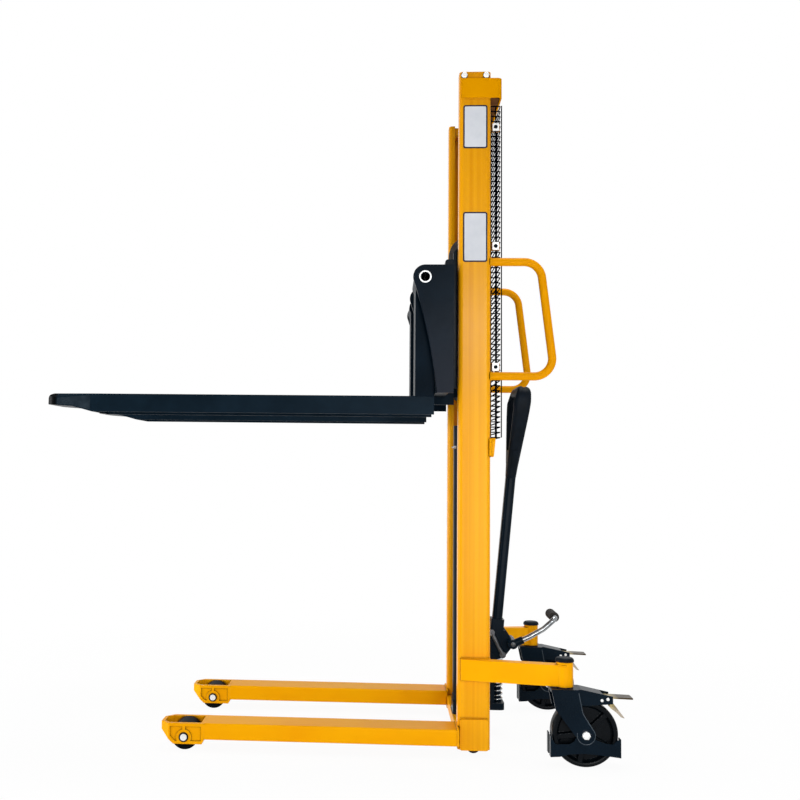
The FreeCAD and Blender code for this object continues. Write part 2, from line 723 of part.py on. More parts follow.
def wheel_carrier():
    """Left front wheel carrier: a casting open above and below the wheel, with a tongue in the leg."""
    y = -LEG_SPACING / 2
    half = LEG_WIDTH / 2
    axle_z = FRONT_WHEEL_D / 2
    top = LEG_TOP_Z - CARRIER_STEP
    bottom = axle_z - CARRIER_BELOW
    leg_low = LEG_TOP_Z - LEG_HEIGHT
    front = -AXLE_REACH - CARRIER_FRONT
    back = -AXLE_REACH + CARRIER_BACK
    body = plate([(back, top), (front, top), (front, bottom + CARRIER_CHIN_RISE),
                  (front + CARRIER_CHIN, bottom), (-AXLE_REACH + CARRIER_HEEL, bottom), (back, leg_low)],
                 y - half, y + half)
    body = body.common(carrier_plan(y, half, CARRIER_TIP, back, front, top))
    wall = CARRIER_FRONT_WALL
    tip = CARRIER_TIP + wall - wall * math.sqrt(2)
    room = carrier_plan(y, half - CARRIER_CHEEK, tip, -AXLE_REACH + CARRIER_ROOM_BACK, front + wall, top)
    tongue = box(back, back + CARRIER_TONGUE, y - half + LEG_WALL, y + half - LEG_WALL,
                 leg_low + LEG_WALL, LEG_TOP_Z - LEG_WALL)
    shape = union(body.cut(room), tongue)
    for face in (y - half, y + half - CARRIER_POCKET):
        for pocket in carrier_pockets(face, top, bottom, back):
            shape = shape.cut(pocket)
    return shape.cut(rod_y(-AXLE_REACH, axle_z, y - LEG_WIDTH, y + LEG_WIDTH,
                           FRONT_AXLE_D / 2 + RUN_FIT))


def carrier_plan(y, half, tip, back, front, top):
    """Upright block with two front corners cut at 45 degrees, seen from above."""
    bend = front + half - tip
    points = [(back, half), (bend, half), (front, tip), (front, -tip), (bend, -half), (back, -half)]
    corners = [V(x, y + side, 0) for x, side in points]
    return Part.Face(Part.makePolygon(corners + corners[:1])).extrude(V(0, 0, 2 * top))


def carrier_pockets(face, top, bottom, back):
    """Two shallow panels in a side of the casting, either side of the axle's boss."""
    high = top - CARRIER_RIM
    low = bottom + CARRIER_RIM
    left = -AXLE_REACH - CARRIER_BEND + CARRIER_RIM / 2
    rib = CARRIER_RIB / 2
    cut = CARRIER_POCKET_CUT
    outlines = [[(left, high), (-AXLE_REACH - rib, high), (-AXLE_REACH - rib, low), (left + cut, low),
                 (left, low + cut)],
                [(-AXLE_REACH + rib, high), (back - CARRIER_RIM, high), (back - CARRIER_RIM, low),
                 (-AXLE_REACH + rib, low)]]
    boss = rod_y(-AXLE_REACH, FRONT_WHEEL_D / 2, face - 1, face + LEG_WIDTH, CARRIER_BOSS_R)
    return [plate(points, face, face + CARRIER_POCKET).cut(boss) for points in outlines]


def wheel(x, y, z, diameter, width, bore, tread, dish, rim, spokes=()):
    """Wheel with rounded treads, a bore, and a dish in each side that its spokes cross."""
    shape = rod_y(x, z, y - width / 2, y + width / 2, diameter / 2)
    rims = [e for e in shape.Edges if isinstance(e.Curve, Part.Circle)]
    shape = shape.makeFillet(tread, rims)
    for side in (-1, 1):
        face = y + side * width / 2
        ring = rod_y(x, z, face - dish, face + dish, diameter / 2 - rim)
        ring = ring.cut(rod_y(x, z, face - dish, face + dish, bore / 2 + WHEEL_HUB_WALL))
        for spoke in spokes:
            ring = ring.cut(spoke)
        shape = shape.cut(ring)
    return shape.cut(rod_y(x, z, y - width, y + width, bore / 2 + RUN_FIT))


def front_wheel():
    """Left front wheel."""
    width = LEG_WIDTH - 2 * CARRIER_CHEEK - 2 * FRONT_WHEEL_GAP
    return wheel(-AXLE_REACH, -LEG_SPACING / 2, FRONT_WHEEL_D / 2, FRONT_WHEEL_D, width,
                 FRONT_AXLE_D, FRONT_WHEEL_EDGE, FRONT_WHEEL_DISH, FRONT_WHEEL_RIM)


def front_axle():
    """Left front axle with a collar and a turned end on each side."""
    y = -LEG_SPACING / 2
    half = LEG_WIDTH / 2
    z = FRONT_WHEEL_D / 2
    pieces = []
    for reach, diameter in ((half + FRONT_COLLAR_H, FRONT_COLLAR_D), (half + FRONT_END_H, FRONT_END_D)):
        pieces.append(rod_y(-AXLE_REACH, z, y - reach, y - half, diameter / 2))
        pieces.append(rod_y(-AXLE_REACH, z, y + half, y + reach, diameter / 2))
    return union(rod_y(-AXLE_REACH, z, y - half, y + half, FRONT_AXLE_D / 2), *pieces)


def support_y():
    """Middle of the left support roller, inside the column."""
    return -(COLUMN_IN + COLUMN_OUT) / 2


def support_z():
    """Height of the support roller's axle."""
    return SUPPORT_ROLLER_LIFT + SUPPORT_ROLLER_D / 2


def support_hole():
    """Hole for the support roller's axle in the column."""
    return rod_y(COLUMN_MID_X, support_z(), -COLUMN_OUT - COLUMN_WALL, -COLUMN_OUT + 2 * COLUMN_WALL,
                 SUPPORT_AXLE_D / 2 + RUN_FIT)


def support_roller():
    """Left support roller under the mast, just clear of the floor."""
    return wheel(COLUMN_MID_X, support_y(), support_z(), SUPPORT_ROLLER_D, SUPPORT_ROLLER_W,
                 SUPPORT_AXLE_D, SUPPORT_ROLLER_EDGE, SUPPORT_ROLLER_DISH, SUPPORT_ROLLER_RIM)


def support_axle():
    """Axle of the left support roller."""
    end = support_y() + SUPPORT_ROLLER_W / 2 + SKIN_GAP
    return rod_y(COLUMN_MID_X, support_z(), -COLUMN_OUT, end, SUPPORT_AXLE_D / 2)


def foot_plate():
    """Doubler plate on the foot of the left column."""
    shape = box(COLUMN_WALL, COLUMN_DEPTH - COLUMN_WALL, -COLUMN_OUT - FOOT_PLATE_WALL, -COLUMN_OUT,
                COLUMN_FOOT_Z, COLUMN_FOOT_Z + FOOT_PLATE_HEIGHT)
    return rounded(shape, Y_AXIS, COLUMN_WALL)


# Outriggers and casters

def outrigger_arm():
    """Left arm: a tapering channel on the column's side, with the caster socket at its end."""
    y = -CASTER_SPACING / 2
    r = SOCKET_D / 2
    inner_end = V(CASTER_REACH, y + r - ARM_WALL, 0)
    outer_end = V(CASTER_REACH, y - r + ARM_WALL, 0)
    inner_bend = V(COLUMN_DEPTH, -COLUMN_OUT, 0)
    inner_start = V(ARM_FRONT, -COLUMN_OUT, 0)
    outer_start = V(ARM_FRONT, -COLUMN_OUT - ARM_FRONT_WIDTH, 0)
    corners = [inner_start, inner_bend, inner_end, outer_end, outer_start]
    plan = Part.Wire(Part.makePolygon(corners + corners[:1]))
    outer = Part.Face(plan).extrude(V(0, 0, ARM_HEIGHT))
    hollow = Part.Face(plan.makeOffset2D(-ARM_WALL)).extrude(V(0, 0, ARM_HEIGHT - ARM_WALL))
    shape = outer.cut(hollow)
    shape.translate(V(0, 0, ARM_BOTTOM_Z))
    axis_low = V(CASTER_REACH, y, SOCKET_BOTTOM_Z)
    axis_high = V(CASTER_REACH, y, SOCKET_TOP_Z)
    shape = union(shape, rod(axis_low, axis_high, r))
    return shape.cut(rod(axis_low, axis_high, STEM_D / 2 + RUN_FIT))


def socket_cap():
    """Domed cap on the left caster socket."""
    y = -CASTER_SPACING / 2
    shape = rod(V(CASTER_REACH, y, SOCKET_TOP_Z), V(CASTER_REACH, y, SOCKET_TOP_Z + CAP_HEIGHT),
                CAP_D / 2)
    top = [e for e in shape.Edges if isinstance(e.Curve, Part.Circle)
           and e.Vertexes[0].Z > SOCKET_TOP_Z + 1]
    return shape.makeFillet(CAP_DOME, top)


def caster_yoke():
    """Left caster fork: stem, top plate, side plates, brake cover with its pin, and the axle."""
    y = -CASTER_SPACING / 2
    inner = YOKE_INNER / 2
    outer = inner + YOKE_WALL
    hub_z = CASTER_WHEEL_D / 2
    plate_top = SOCKET_BOTTOM_Z - STEM_RING
    plate_low = plate_top - YOKE_TOP_WALL
    front = CASTER_REACH - YOKE_FRONT
    back = CASTER_REACH + YOKE_BACK
    stem = rod(V(CASTER_REACH, y, plate_low), V(CASTER_REACH, y, SOCKET_TOP_Z - SKIN_GAP), STEM_D / 2)
    ring = rod(V(CASTER_REACH, y, plate_top), V(CASTER_REACH, y, SOCKET_BOTTOM_Z), SOCKET_D / 2)
    top = box(front, back, y - outer, y + outer, plate_low, plate_top)
    pieces = [ring, top]
    for low in (-outer, inner):
        web = plate([(front, plate_top), (back, plate_top), (back + YOKE_KNEE_X, plate_top - YOKE_KNEE_DROP),
                     (CASTER_HUB_X + YOKE_WEB_R, hub_z + YOKE_WEB_RISE), (CASTER_HUB_X, hub_z),
                     (CASTER_HUB_X - YOKE_WEB_FRONT, hub_z - YOKE_FRONT_FALL),
                     (front + YOKE_BEND_X, plate_top - YOKE_BEND_DROP)], y + low, y + low + YOKE_WALL)
        pieces.append(web)
        pieces.append(rod_y(CASTER_HUB_X, hub_z, y + low, y + low + YOKE_WALL, YOKE_HUB_R))
    shape = union(stem, *pieces, *brake_cover(y, plate_top))
    shape = shape.cut(rod_y(CASTER_HUB_X, hub_z, y - 2 * outer, y + 2 * outer,
                            CASTER_AXLE_D / 2 + RUN_FIT))
    axle = rod_y(CASTER_HUB_X, hub_z, y - outer, y + outer, CASTER_AXLE_D / 2)
    nuts = [hex_head(CASTER_HUB_X, y - outer - CASTER_NUT_H, hub_z, CASTER_NUT_FLATS, CASTER_NUT_H),
            hex_head(CASTER_HUB_X, y + outer, hub_z, CASTER_NUT_FLATS, CASTER_NUT_H)]
    return shape, union(axle, *nuts)


def brake_cover(y, plate_top):
    """Sloping cover with two cheeks beside the wheel and a pin that carries the brake pedal."""
    half = YOKE_INNER / 2
    wall = BRAKE_COVER_WALL
    end = CASTER_HUB_X + BRAKE_END
    knee = CASTER_HUB_X - BRAKE_KNEE
    start = CASTER_REACH + STEM_D / 2
    drop = plate_top - BRAKE_DROP
    mouth = end - BRAKE_MOUTH
    mouth_z = plate_top - BRAKE_DROP * (mouth - knee) / (end - knee)
    profile = [(start, plate_top), (knee, plate_top), (end, drop), (end, drop - BRAKE_LIP),
               (start, plate_top - BRAKE_CHEEK)]
    roof = [(start, plate_top), (knee, plate_top), (mouth, mouth_z), (mouth, mouth_z - wall),
            (knee, plate_top - wall), (start, plate_top - wall)]
    return [plate(profile, y - half, y - half + wall), plate(profile, y + half - wall, y + half),
            plate(roof, y - half, y + half),
            rod_y(CASTER_HUB_X + BRAKE_PIVOT_X, BRAKE_PIVOT_Z, y - half, y + half, BRAKE_PIN_D / 2)]


def caster_wheel():
    """Left caster wheel."""
    y = -CASTER_SPACING / 2
    z = CASTER_WHEEL_D / 2
    half = CASTER_SPOKE_W / 2
    bar = box(CASTER_HUB_X, CASTER_HUB_X + z, y - CASTER_WHEEL_W, y + CASTER_WHEEL_W, z - half, z + half)
    spokes = []
    for step in range(CASTER_SPOKES):
        angle = CASTER_SPOKE_TURN + 360 * step / CASTER_SPOKES
        spokes.append(turned(bar, V(CASTER_HUB_X, y, z), -angle))
    return wheel(CASTER_HUB_X, y, z, CASTER_WHEEL_D, CASTER_WHEEL_W, CASTER_AXLE_D, CASTER_WHEEL_EDGE,
                 CASTER_WHEEL_DISH, CASTER_WHEEL_RIM, spokes)


def toe_guard():
    """Left toe guard: a plate on the axle at each side of the wheel, its ends turned in."""
    y = -CASTER_SPACING / 2
    x = CASTER_HUB_X
    z = CASTER_WHEEL_D / 2
    outer = YOKE_INNER / 2
    inner = outer - TOE_WALL
    front = (TOE_FRONT, TOE_FRONT_Z)
    back = (TOE_BACK - TOE_WALL, TOE_BACK_Z)
    outline = [(TOE_FRONT, TOE_FRONT_Z[0]), *TOE_LOW_EDGE, (TOE_BACK, TOE_BACK_Z[0]),
               (TOE_BACK, TOE_BACK_Z[1]), *TOE_HIGH_EDGE, (TOE_FRONT, TOE_FRONT_Z[1])]
    pieces = [rod_y(x, z, y - outer, y - inner, TOE_HUB_R)]
    for offset, (low, high) in (front, back):
        pieces.append(box(x + offset, x + offset + TOE_WALL, y - outer, y - outer + TOE_TURN, low, high))
    shape = union(plate([(x + dx, dz) for dx, dz in outline], y - outer, y - inner), *pieces)
    shape = shape.cut(rod_y(x, z, y - 2 * outer, y, CASTER_AXLE_D / 2 + RUN_FIT))
    other = shape.mirror(V(0, y, 0), Y_AXIS)
    return [shape, other]


def brake_pedal():
    """Left brake pedal: a barrel on its pin with an upper and a lower tongue."""
    y = -CASTER_SPACING / 2
    x = CASTER_HUB_X + BRAKE_PIVOT_X
    z = BRAKE_PIVOT_Z
    half = YOKE_INNER / 2 - BRAKE_COVER_WALL - BRAKE_SIDE_GAP
    barrel_r = BRAKE_PIN_D / 2 + PEDAL_T
    barrel = rod_y(x, z, y - half, y + half, barrel_r)
    tip_x = CASTER_HUB_X + PEDAL_TIP_X
    upper = plate([(x, z + barrel_r - PEDAL_T), (x, z + barrel_r), (tip_x, PEDAL_TIP_Z + PEDAL_T),
                   (tip_x, PEDAL_TIP_Z)], y - PEDAL_W / 2, y + PEDAL_W / 2)
    low_x = CASTER_HUB_X + PEDAL_LOW_X
    lower = plate([(x, z), (x + 2 * PEDAL_T, z), (low_x + PEDAL_T, PEDAL_LOW_Z), (low_x, PEDAL_LOW_Z)],
                  y - PEDAL_W / 3, y + PEDAL_W / 3)
    shape = union(barrel, upper, lower)
    return shape.cut(rod_y(x, z, y - 2 * half, y + 2 * half, BRAKE_PIN_D / 2 + RUN_FIT))


# Carriage

def cheek(y0, y1):
    """Carriage cheek: round nose at the shaft, hollow front edge, foot at the bottom."""
    top = SHAFT_Z + NOSE_R
    bottom = FORK_TOP_Z + CHEEK_BOTTOM_ABOVE_FORK
    back = CARRIAGE_BACK_X
    turn = math.radians(NOSE_TURN)
    leave = V(SHAFT_X + NOSE_R * math.cos(turn), y0, SHAFT_Z + NOSE_R * math.sin(turn))
    foot = V(back - CHEEK_FOOT, y0, bottom)
    chord = foot - leave
    middle = (leave + foot) / 2 + V(-chord.z, 0, chord.x).normalize() * CHEEK_SAG
    edges = [line(V(back, y0, top), V(SHAFT_X, y0, top)),
             arc(V(SHAFT_X, y0, top), V(SHAFT_X - NOSE_R, y0, SHAFT_Z), leave),
             arc(leave, middle, foot),
             line(foot, V(back, y0, bottom)),
             line(V(back, y0, bottom), V(back, y0, top))]
    shape = outline_plate(edges, V(0, y1 - y0, 0))
    return shape.cut(rod_y(SHAFT_X, SHAFT_Z, y0 - 1, y1 + 1, SHAFT_D / 2 + RUN_FIT))


def upper_bar():
    """Upper cross bar between the cheeks, with a rounded top front edge."""
    top = SHAFT_Z + UPPER_BAR_RISE
    shape = box(CARRIAGE_BACK_X - UPPER_BAR_DEPTH, CARRIAGE_BACK_X, -CHEEK_IN, CHEEK_IN,
                top - UPPER_BAR_HEIGHT, top)
    front = [e for e in edges_along(shape, Y_AXIS)
             if e.Vertexes[0].Z > top - 1 and e.Vertexes[0].X < CARRIAGE_BACK_X - 1]
    return shape.makeFillet(UPPER_BAR_DEPTH / 3, front)


def lower_bar():
    """Lower cross bar, a box tube that the forks lean on, with the chain's anchor lug and two hangers."""
    low = LOWER_BAR_Z
    high = low + LOWER_BAR_HEIGHT
    wall = LOWER_BAR_WALL
    outer = box(LOWER_BAR_FRONT_X, LOWER_BAR_BACK_X, -CHEEK_IN, CHEEK_IN, low, high)
    inner = box(LOWER_BAR_FRONT_X + wall, LOWER_BAR_BACK_X - wall, -CHEEK_IN, CHEEK_IN,
                low + wall, high - wall)
    front_run_x = CYLINDER_X - CHAIN_INNER_R
    lug = box(LOWER_BAR_BACK_X, front_run_x - SLIDE_GAP, -ANCHOR_WIDTH / 2, ANCHOR_WIDTH / 2,
              high - ANCHOR_HEIGHT, high)
    hanger = bar_hanger()
    return union(outer.cut(inner), lug, hanger, mirrored(hanger))


def bar_hanger():
    """Left hanger plate, round the lower bar's underside and back."""
    low = LOWER_BAR_Z
    bottom = low - HANGER_DROP
    top = bottom + HANGER_HEIGHT
    return plate([(LOWER_BAR_FRONT_X, low), (LOWER_BAR_FRONT_X, bottom), (-HANGER_BACK, bottom),
                  (-HANGER_BACK, top), (LOWER_BAR_BACK_X, top), (LOWER_BAR_BACK_X, low)],
                 -HANGER_Y - HANGER_T, -HANGER_Y)


def cheeks():
    """Two end cheeks and the rib that holds the middle of the shaft."""
    left = cheek(-CHEEK_OUT, -CHEEK_IN)
    rib = cheek(-CHEEK_T / 2, CHEEK_T / 2).cut(upper_bar())
    low = LOWER_BAR_Z + LOWER_BAR_HEIGHT
    rib = rib.cut(box(SHAFT_X, CARRIAGE_BACK_X, -CHEEK_T, CHEEK_T, LOWER_BAR_Z - CHEEK_T, low))
    return [left, mirrored(left), rib]


def fork_shaft():
    """Tube that the forks hang and slide on."""
    outer = rod_y(SHAFT_X, SHAFT_Z, -CHEEK_OUT, CHEEK_OUT, SHAFT_D / 2)
    return outer.cut(rod_y(SHAFT_X, SHAFT_Z, -CHEEK_OUT, CHEEK_OUT, SHAFT_BORE / 2))


def roller_heights():
    """Heights of the lower and upper carriage rollers."""
    return (FORK_TOP_Z + ROLLER_LOW, FORK_TOP_Z + ROLLER_HIGH)


def roller_span():
    """Inner and outer side of a left carriage roller, across the machine."""
    inner = -COLUMN_IN - COLUMN_WALL - ROLLER_SIDE_GAP
    return inner - ROLLER_W, inner


def roller_plate():
    """Left roller plate inside the column, with its horn and two stub axles."""
    y1 = -COLUMN_IN + ROLLER_SIDE_GAP + ROLLER_PLATE_T
    y0 = y1 - ROLLER_PLATE_T
    low, high = roller_heights()
    back = COLUMN_MID_X + STUB_D / 2 + 2 * SKIN_GAP
    horn = FORK_TOP_Z + HORN_TOP
    bar_top = SHAFT_Z + UPPER_BAR_RISE
    horn_x = CARRIAGE_BACK_X + HORN_SETBACK
    low_top = LOWER_BAR_Z + LOWER_BAR_HEIGHT
    shape = plate([(LOWER_BAR_BACK_X, low - STUB_D), (back, low - STUB_D), (back, high + STUB_D),
                   (back / 2, horn), (0, horn), (horn_x, horn - HORN_SLOPE), (horn_x, bar_top),
                   (CARRIAGE_BACK_X, bar_top), (CARRIAGE_BACK_X, low_top + LOWER_BAR_SET),
                   (LOWER_BAR_BACK_X, low_top)], y0, y1)
    stubs = [rod_y(COLUMN_MID_X, z, roller_span()[0], y1, STUB_D / 2) for z in (low, high)]
    return union(shape, *stubs)


def carriage_roller(z):
    """Left carriage roller that runs inside the column."""
    y0, y1 = roller_span()
    return wheel(COLUMN_MID_X, (y0 + y1) / 2, z, ROLLER_D, ROLLER_W, STUB_D, ROLLER_EDGE,
                 ROLLER_DISH, ROLLER_RIM)


# Forks

def fork_blade():
    """Left fork blade: an upturned channel with a step for the shank and a closed nose."""
    y = -FORK_SPACING / 2
    half = FORK_WIDTH / 2
    bottom = FORK_TOP_Z - FORK_HEIGHT
    nose_x = FORK_TIP_X + NOSE_LENGTH
    wall = FORK_PLATE
    outer = box(nose_x, HEEL_X, y - half, y + half, bottom, FORK_TOP_Z)
    inner = box(nose_x, HEEL_X, y - half + wall, y + half - wall, bottom, FORK_TOP_Z - wall)
    seat = box(HEEL_X - SHANK_DEPTH, HEEL_X, y - half, y + half, FORK_TOP_Z - SHANK_SEAT, FORK_TOP_Z)
    return union(outer.cut(inner).cut(seat), fork_nose(y, half, nose_x, bottom))


def nose_wedge(side, inward, nose_x):
    """Wedge that takes a top side edge off the nose, more towards the tip."""
    end = V(FORK_TIP_X, side, FORK_TOP_Z)
    corners = [end, end + V(0, inward, 0), end - V(0, 0, NOSE_BEVEL), V(nose_x, side, FORK_TOP_Z)]
    faces = []
    for left_out in corners:
        a, b, c = [p for p in corners if p is not left_out]
        faces.append(Part.Face(Part.makePolygon([a, b, c, a])))
    solid = Part.makeSolid(Part.makeShell(faces))
    return solid if solid.Volume > 0 else solid.reversed()


def fork_nose(y, half, nose_x, bottom):
    """Nose of a fork: round over the tip, rising underneath, round at its corners seen from above."""
    tip = FORK_TIP_X
    top = FORK_TOP_Z
    low = top - NOSE_TIP_HEIGHT
    ramp_x = nose_x - NOSE_RAMP
    ramp_z = bottom + NOSE_RISE
    bow = 1 - math.sqrt(0.5)
    profile = [(tip + NOSE_ROUND, top), (nose_x, top), (nose_x, bottom), (ramp_x, ramp_z),
               (tip + NOSE_LIP, low)]
    points = [V(x, y - half, z) for x, z in profile]
    edges = [line(a, b) for a, b in zip(points, points[1:])]
    lip_end = V(tip, y - half, low + NOSE_LIP)
    round_start = V(tip, y - half, top - NOSE_ROUND)
    edges.append(arc(points[-1], V(tip + bow * NOSE_LIP, y - half, low + bow * NOSE_LIP), lip_end))
    edges.append(line(lip_end, round_start))
    edges.append(arc(round_start, V(tip + bow * NOSE_ROUND, y - half, top - bow * NOSE_ROUND), points[0]))
    shape = outline_plate(edges, V(0, 2 * half, 0))
    plan = box(tip, nose_x, y - half, y + half, bottom, top)
    corners = [e for e in edges_along(plan, Z_AXIS) if e.Vertexes[0].X < tip + 1]
    shape = shape.common(plan.makeFillet(NOSE_CORNER, corners))
    for side, inward in ((y - half, NOSE_BEVEL), (y + half, -NOSE_BEVEL)):
        shape = shape.cut(nose_wedge(side, inward, nose_x))
    wall = FORK_PLATE
    cave_x = tip + NOSE_CORNER + wall
    cave = plate([(cave_x, top - wall), (nose_x, top - wall), (nose_x, bottom + wall),
                  (ramp_x, ramp_z + wall), (cave_x, low + wall)], y - half + wall, y + half - wall)
    return shape.cut(cave)


def fork_shank():
    """Left fork shank: front plate, two webs and the sleeve on the shaft."""
    y = -FORK_SPACING / 2
    half = FORK_WIDTH / 2
    front = HEEL_X - SHANK_DEPTH
    foot = FORK_TOP_Z - SHANK_SEAT
    face = box(front, front + SHANK_PLATE, y - half, y + half, foot, SHAFT_Z)
    pieces = [face]
    for low in (-half, half - FORK_PLATE):
        pieces.append(box(front + SHANK_PLATE, HEEL_X, y + low, y + low + FORK_PLATE, foot, SHAFT_Z))
    sleeve = rod_y(SHAFT_X, SHAFT_Z, y - half, y + half, SLEEVE_D / 2)
    shape = union(sleeve, *pieces)
    return shape.cut(rod_y(SHAFT_X, SHAFT_Z, y - half - 1, y + half + 1, SHAFT_D / 2 + RUN_FIT))


# Lift

def lift_cylinder():
    """Barrel with its foot collar, and the gland that guides the rod."""
    r = BARREL_D / 2
    low = V(CYLINDER_X, 0, PUMP_TOP_Z)
    gland_z = V(CYLINDER_X, 0, BARREL_TOP_Z - GLAND_HEIGHT)
    top = V(CYLINDER_X, 0, BARREL_TOP_Z)
    collar = rod(low, low + Z_AXIS * COLLAR_HEIGHT, r + COLLAR_WALL)
    barrel = union(rod(low, gland_z, r), collar)
    barrel = barrel.cut(rod(low + Z_AXIS * BARREL_WALL, gland_z, r - BARREL_WALL))
    gland = rod(gland_z, top, r).cut(rod(gland_z, top, ROD_D / 2 + RUN_FIT))
    return [barrel, gland]


def piston_rod():
    """Rod with its piston, standing out of the barrel as far as the forks are raised."""
    top_z = SHEAVE_Z - SHEAVE_TO_BASE
    low = V(CYLINDER_X, 0, top_z - ROD_LENGTH)
    shaft = rod(low, V(CYLINDER_X, 0, top_z), ROD_D / 2)
    piston = rod(low, low + Z_AXIS * PISTON_HEIGHT, BARREL_D / 2 - BARREL_WALL - PISTON_GAP)
    return union(shaft, piston)


def sheave_half_width():
    """Half of the sheave's width over its flanges."""
    return CHAIN_W / 2 + SLIDE_GAP + SHEAVE_FLANGE


def crosshead():
    """Fork on the rod's end that carries the sheave on its pin."""
    inner = sheave_half_width() + SKIN_GAP
    outer = inner + CROSSHEAD_PLATE
    low = SHEAVE_Z - SHEAVE_TO_BASE
    half = CROSSHEAD_DEPTH / 2
    base = box(CYLINDER_X - half, CYLINDER_X + half, -outer, outer, low, low + CROSSHEAD_BASE)
    pieces = []
    for y in (-outer, inner):
        ear = box(CYLINDER_X - half, CYLINDER_X + half, y, y + CROSSHEAD_PLATE, low, SHEAVE_Z)
        pieces.append(ear)
        pieces.append(rod_y(CYLINDER_X, SHEAVE_Z, y, y + CROSSHEAD_PLATE, half))
    pin = rod_y(CYLINDER_X, SHEAVE_Z, -outer, outer, SHEAVE_PIN_D / 2)
    return union(base, *pieces, pin)


def chain_sheave():
    """Grooved wheel that the chain lies in."""
    half = sheave_half_width()
    groove = CHAIN_W / 2 + SLIDE_GAP
    core = rod_y(CYLINDER_X, SHEAVE_Z, -groove, groove, CHAIN_INNER_R - SLIDE_GAP)
    shape = union(core, rod_y(CYLINDER_X, SHEAVE_Z, -half, -groove, SHEAVE_R),
                  rod_y(CYLINDER_X, SHEAVE_Z, groove, half, SHEAVE_R))
    return shape.cut(rod_y(CYLINDER_X, SHEAVE_Z, -half, half, SHEAVE_PIN_D / 2 + RUN_FIT))


def chain_front():
    """Chain from the sheave down to the carriage."""
    x = CYLINDER_X - CHAIN_OUTER_R
    low = LOWER_BAR_Z + LOWER_BAR_HEIGHT
    return box(x, x + CHAIN_T, -CHAIN_W / 2, CHAIN_W / 2, low, SHEAVE_Z)


def chain_rear():
    """Chain over the sheave and down to the fixed crossbar."""
    half = CHAIN_W / 2
    x = CYLINDER_X + CHAIN_INNER_R
    run = box(x, x + CHAIN_T, -half, half, CROSSBAR_TOP_Z, SHEAVE_Z)
    wrap = rod_y(CYLINDER_X, SHEAVE_Z, -half, half, CHAIN_OUTER_R)
    wrap = wrap.cut(rod_y(CYLINDER_X, SHEAVE_Z, -half, half, CHAIN_INNER_R))
    upper = box(CYLINDER_X - 2 * SHEAVE_R, CYLINDER_X + 2 * SHEAVE_R, -half, half, SHEAVE_Z,
                SHEAVE_Z + 2 * SHEAVE_R)
    return union(run, wrap.common(upper))


# Pump and its spring

def pump_body():
    """Pump block with the plunger's boss and the two ears that hold the rocker's pin."""
    half = PUMP_HALF_WIDTH
    front = CYLINDER_X - BARREL_D / 2 - COLLAR_WALL
    block = box(front, PUMP_REAR, -half, half, BASE_TOP_Z, PUMP_TOP_Z)
    block = rounded(block, Z_AXIS, 2 * BARREL_WALL)
    block = block.cut(box(COLUMN_DEPTH, 2 * PUMP_REAR, -half, half, BASE_TOP_Z, PUMP_OVERHANG_Z))
    boss = rod(V(PLUNGER_X, 0, PUMP_TOP_Z), V(PLUNGER_X, 0, PUMP_BOSS_TOP_Z), PUMP_BOSS_D / 2)
    ears = []
    gap = PIVOT_EAR_GAP / 2
    for y in (-gap - PIVOT_EAR_T, gap):
        ears.append(box(PIVOT_X - PIVOT_D, PIVOT_X + PIVOT_D, y, y + PIVOT_EAR_T, PUMP_TOP_Z, PIVOT_Z))
        ears.append(rod_y(PIVOT_X, PIVOT_Z, y, y + PIVOT_EAR_T, PIVOT_D))
    pin = rod_y(PIVOT_X, PIVOT_Z, -gap - PIVOT_EAR_T, gap + PIVOT_EAR_T, PIVOT_D / 2)
    shape = union(block, boss, *ears, pin)
    bore_low = V(PLUNGER_X, 0, PUMP_OVERHANG_Z + COLLAR_WALL)
    return shape.cut(rod(bore_low, V(PLUNGER_X, 0, PUMP_BOSS_TOP_Z), PLUNGER_D / 2 + RUN_FIT))


def pump_plunger():
    """Plunger with the cap that the spring pushes up and the lever's roller pushes down."""
    low = PUMP_OVERHANG_Z + 2 * COLLAR_WALL + PLUNGER_STROKE
    top = PLUNGER_TOP_Z
    shaft = rod(V(PLUNGER_X, 0, low), V(PLUNGER_X, 0, top), PLUNGER_D / 2)
    cap = rod(V(PLUNGER_X, 0, CAP_UNDER_Z), V(PLUNGER_X, 0, CAP_UNDER_Z + PLUNGER_CAP_T),
              PLUNGER_CAP_D / 2)
    return union(shaft, cap)


def biarc(p0, t0, p1, t1):
    """Two tangent arcs from p0 along t0 to p1 along t1."""
    run = p1 - p0
    total = t0 + t1
    spread = 2 * (1 - t0.dot(t1))
    lean = run.dot(total)
    reach = (-lean + math.sqrt(lean * lean + spread * run.dot(run))) / spread
    q0 = p0 + t0 * reach
    q1 = p1 - t1 * reach
    joint = (q0 + q1) / 2
    edges = []
    for a, knee, b in ((p0, q0, joint), (joint, q1, p1)):
        mid = (a + b) / 2
        half = (b - a).Length / 2
        rise = (knee - mid).Length
        sag = half * (reach - half) / rise
        edges.append(arc(a, mid + (knee - mid) * (sag / rise), b))
    return edges


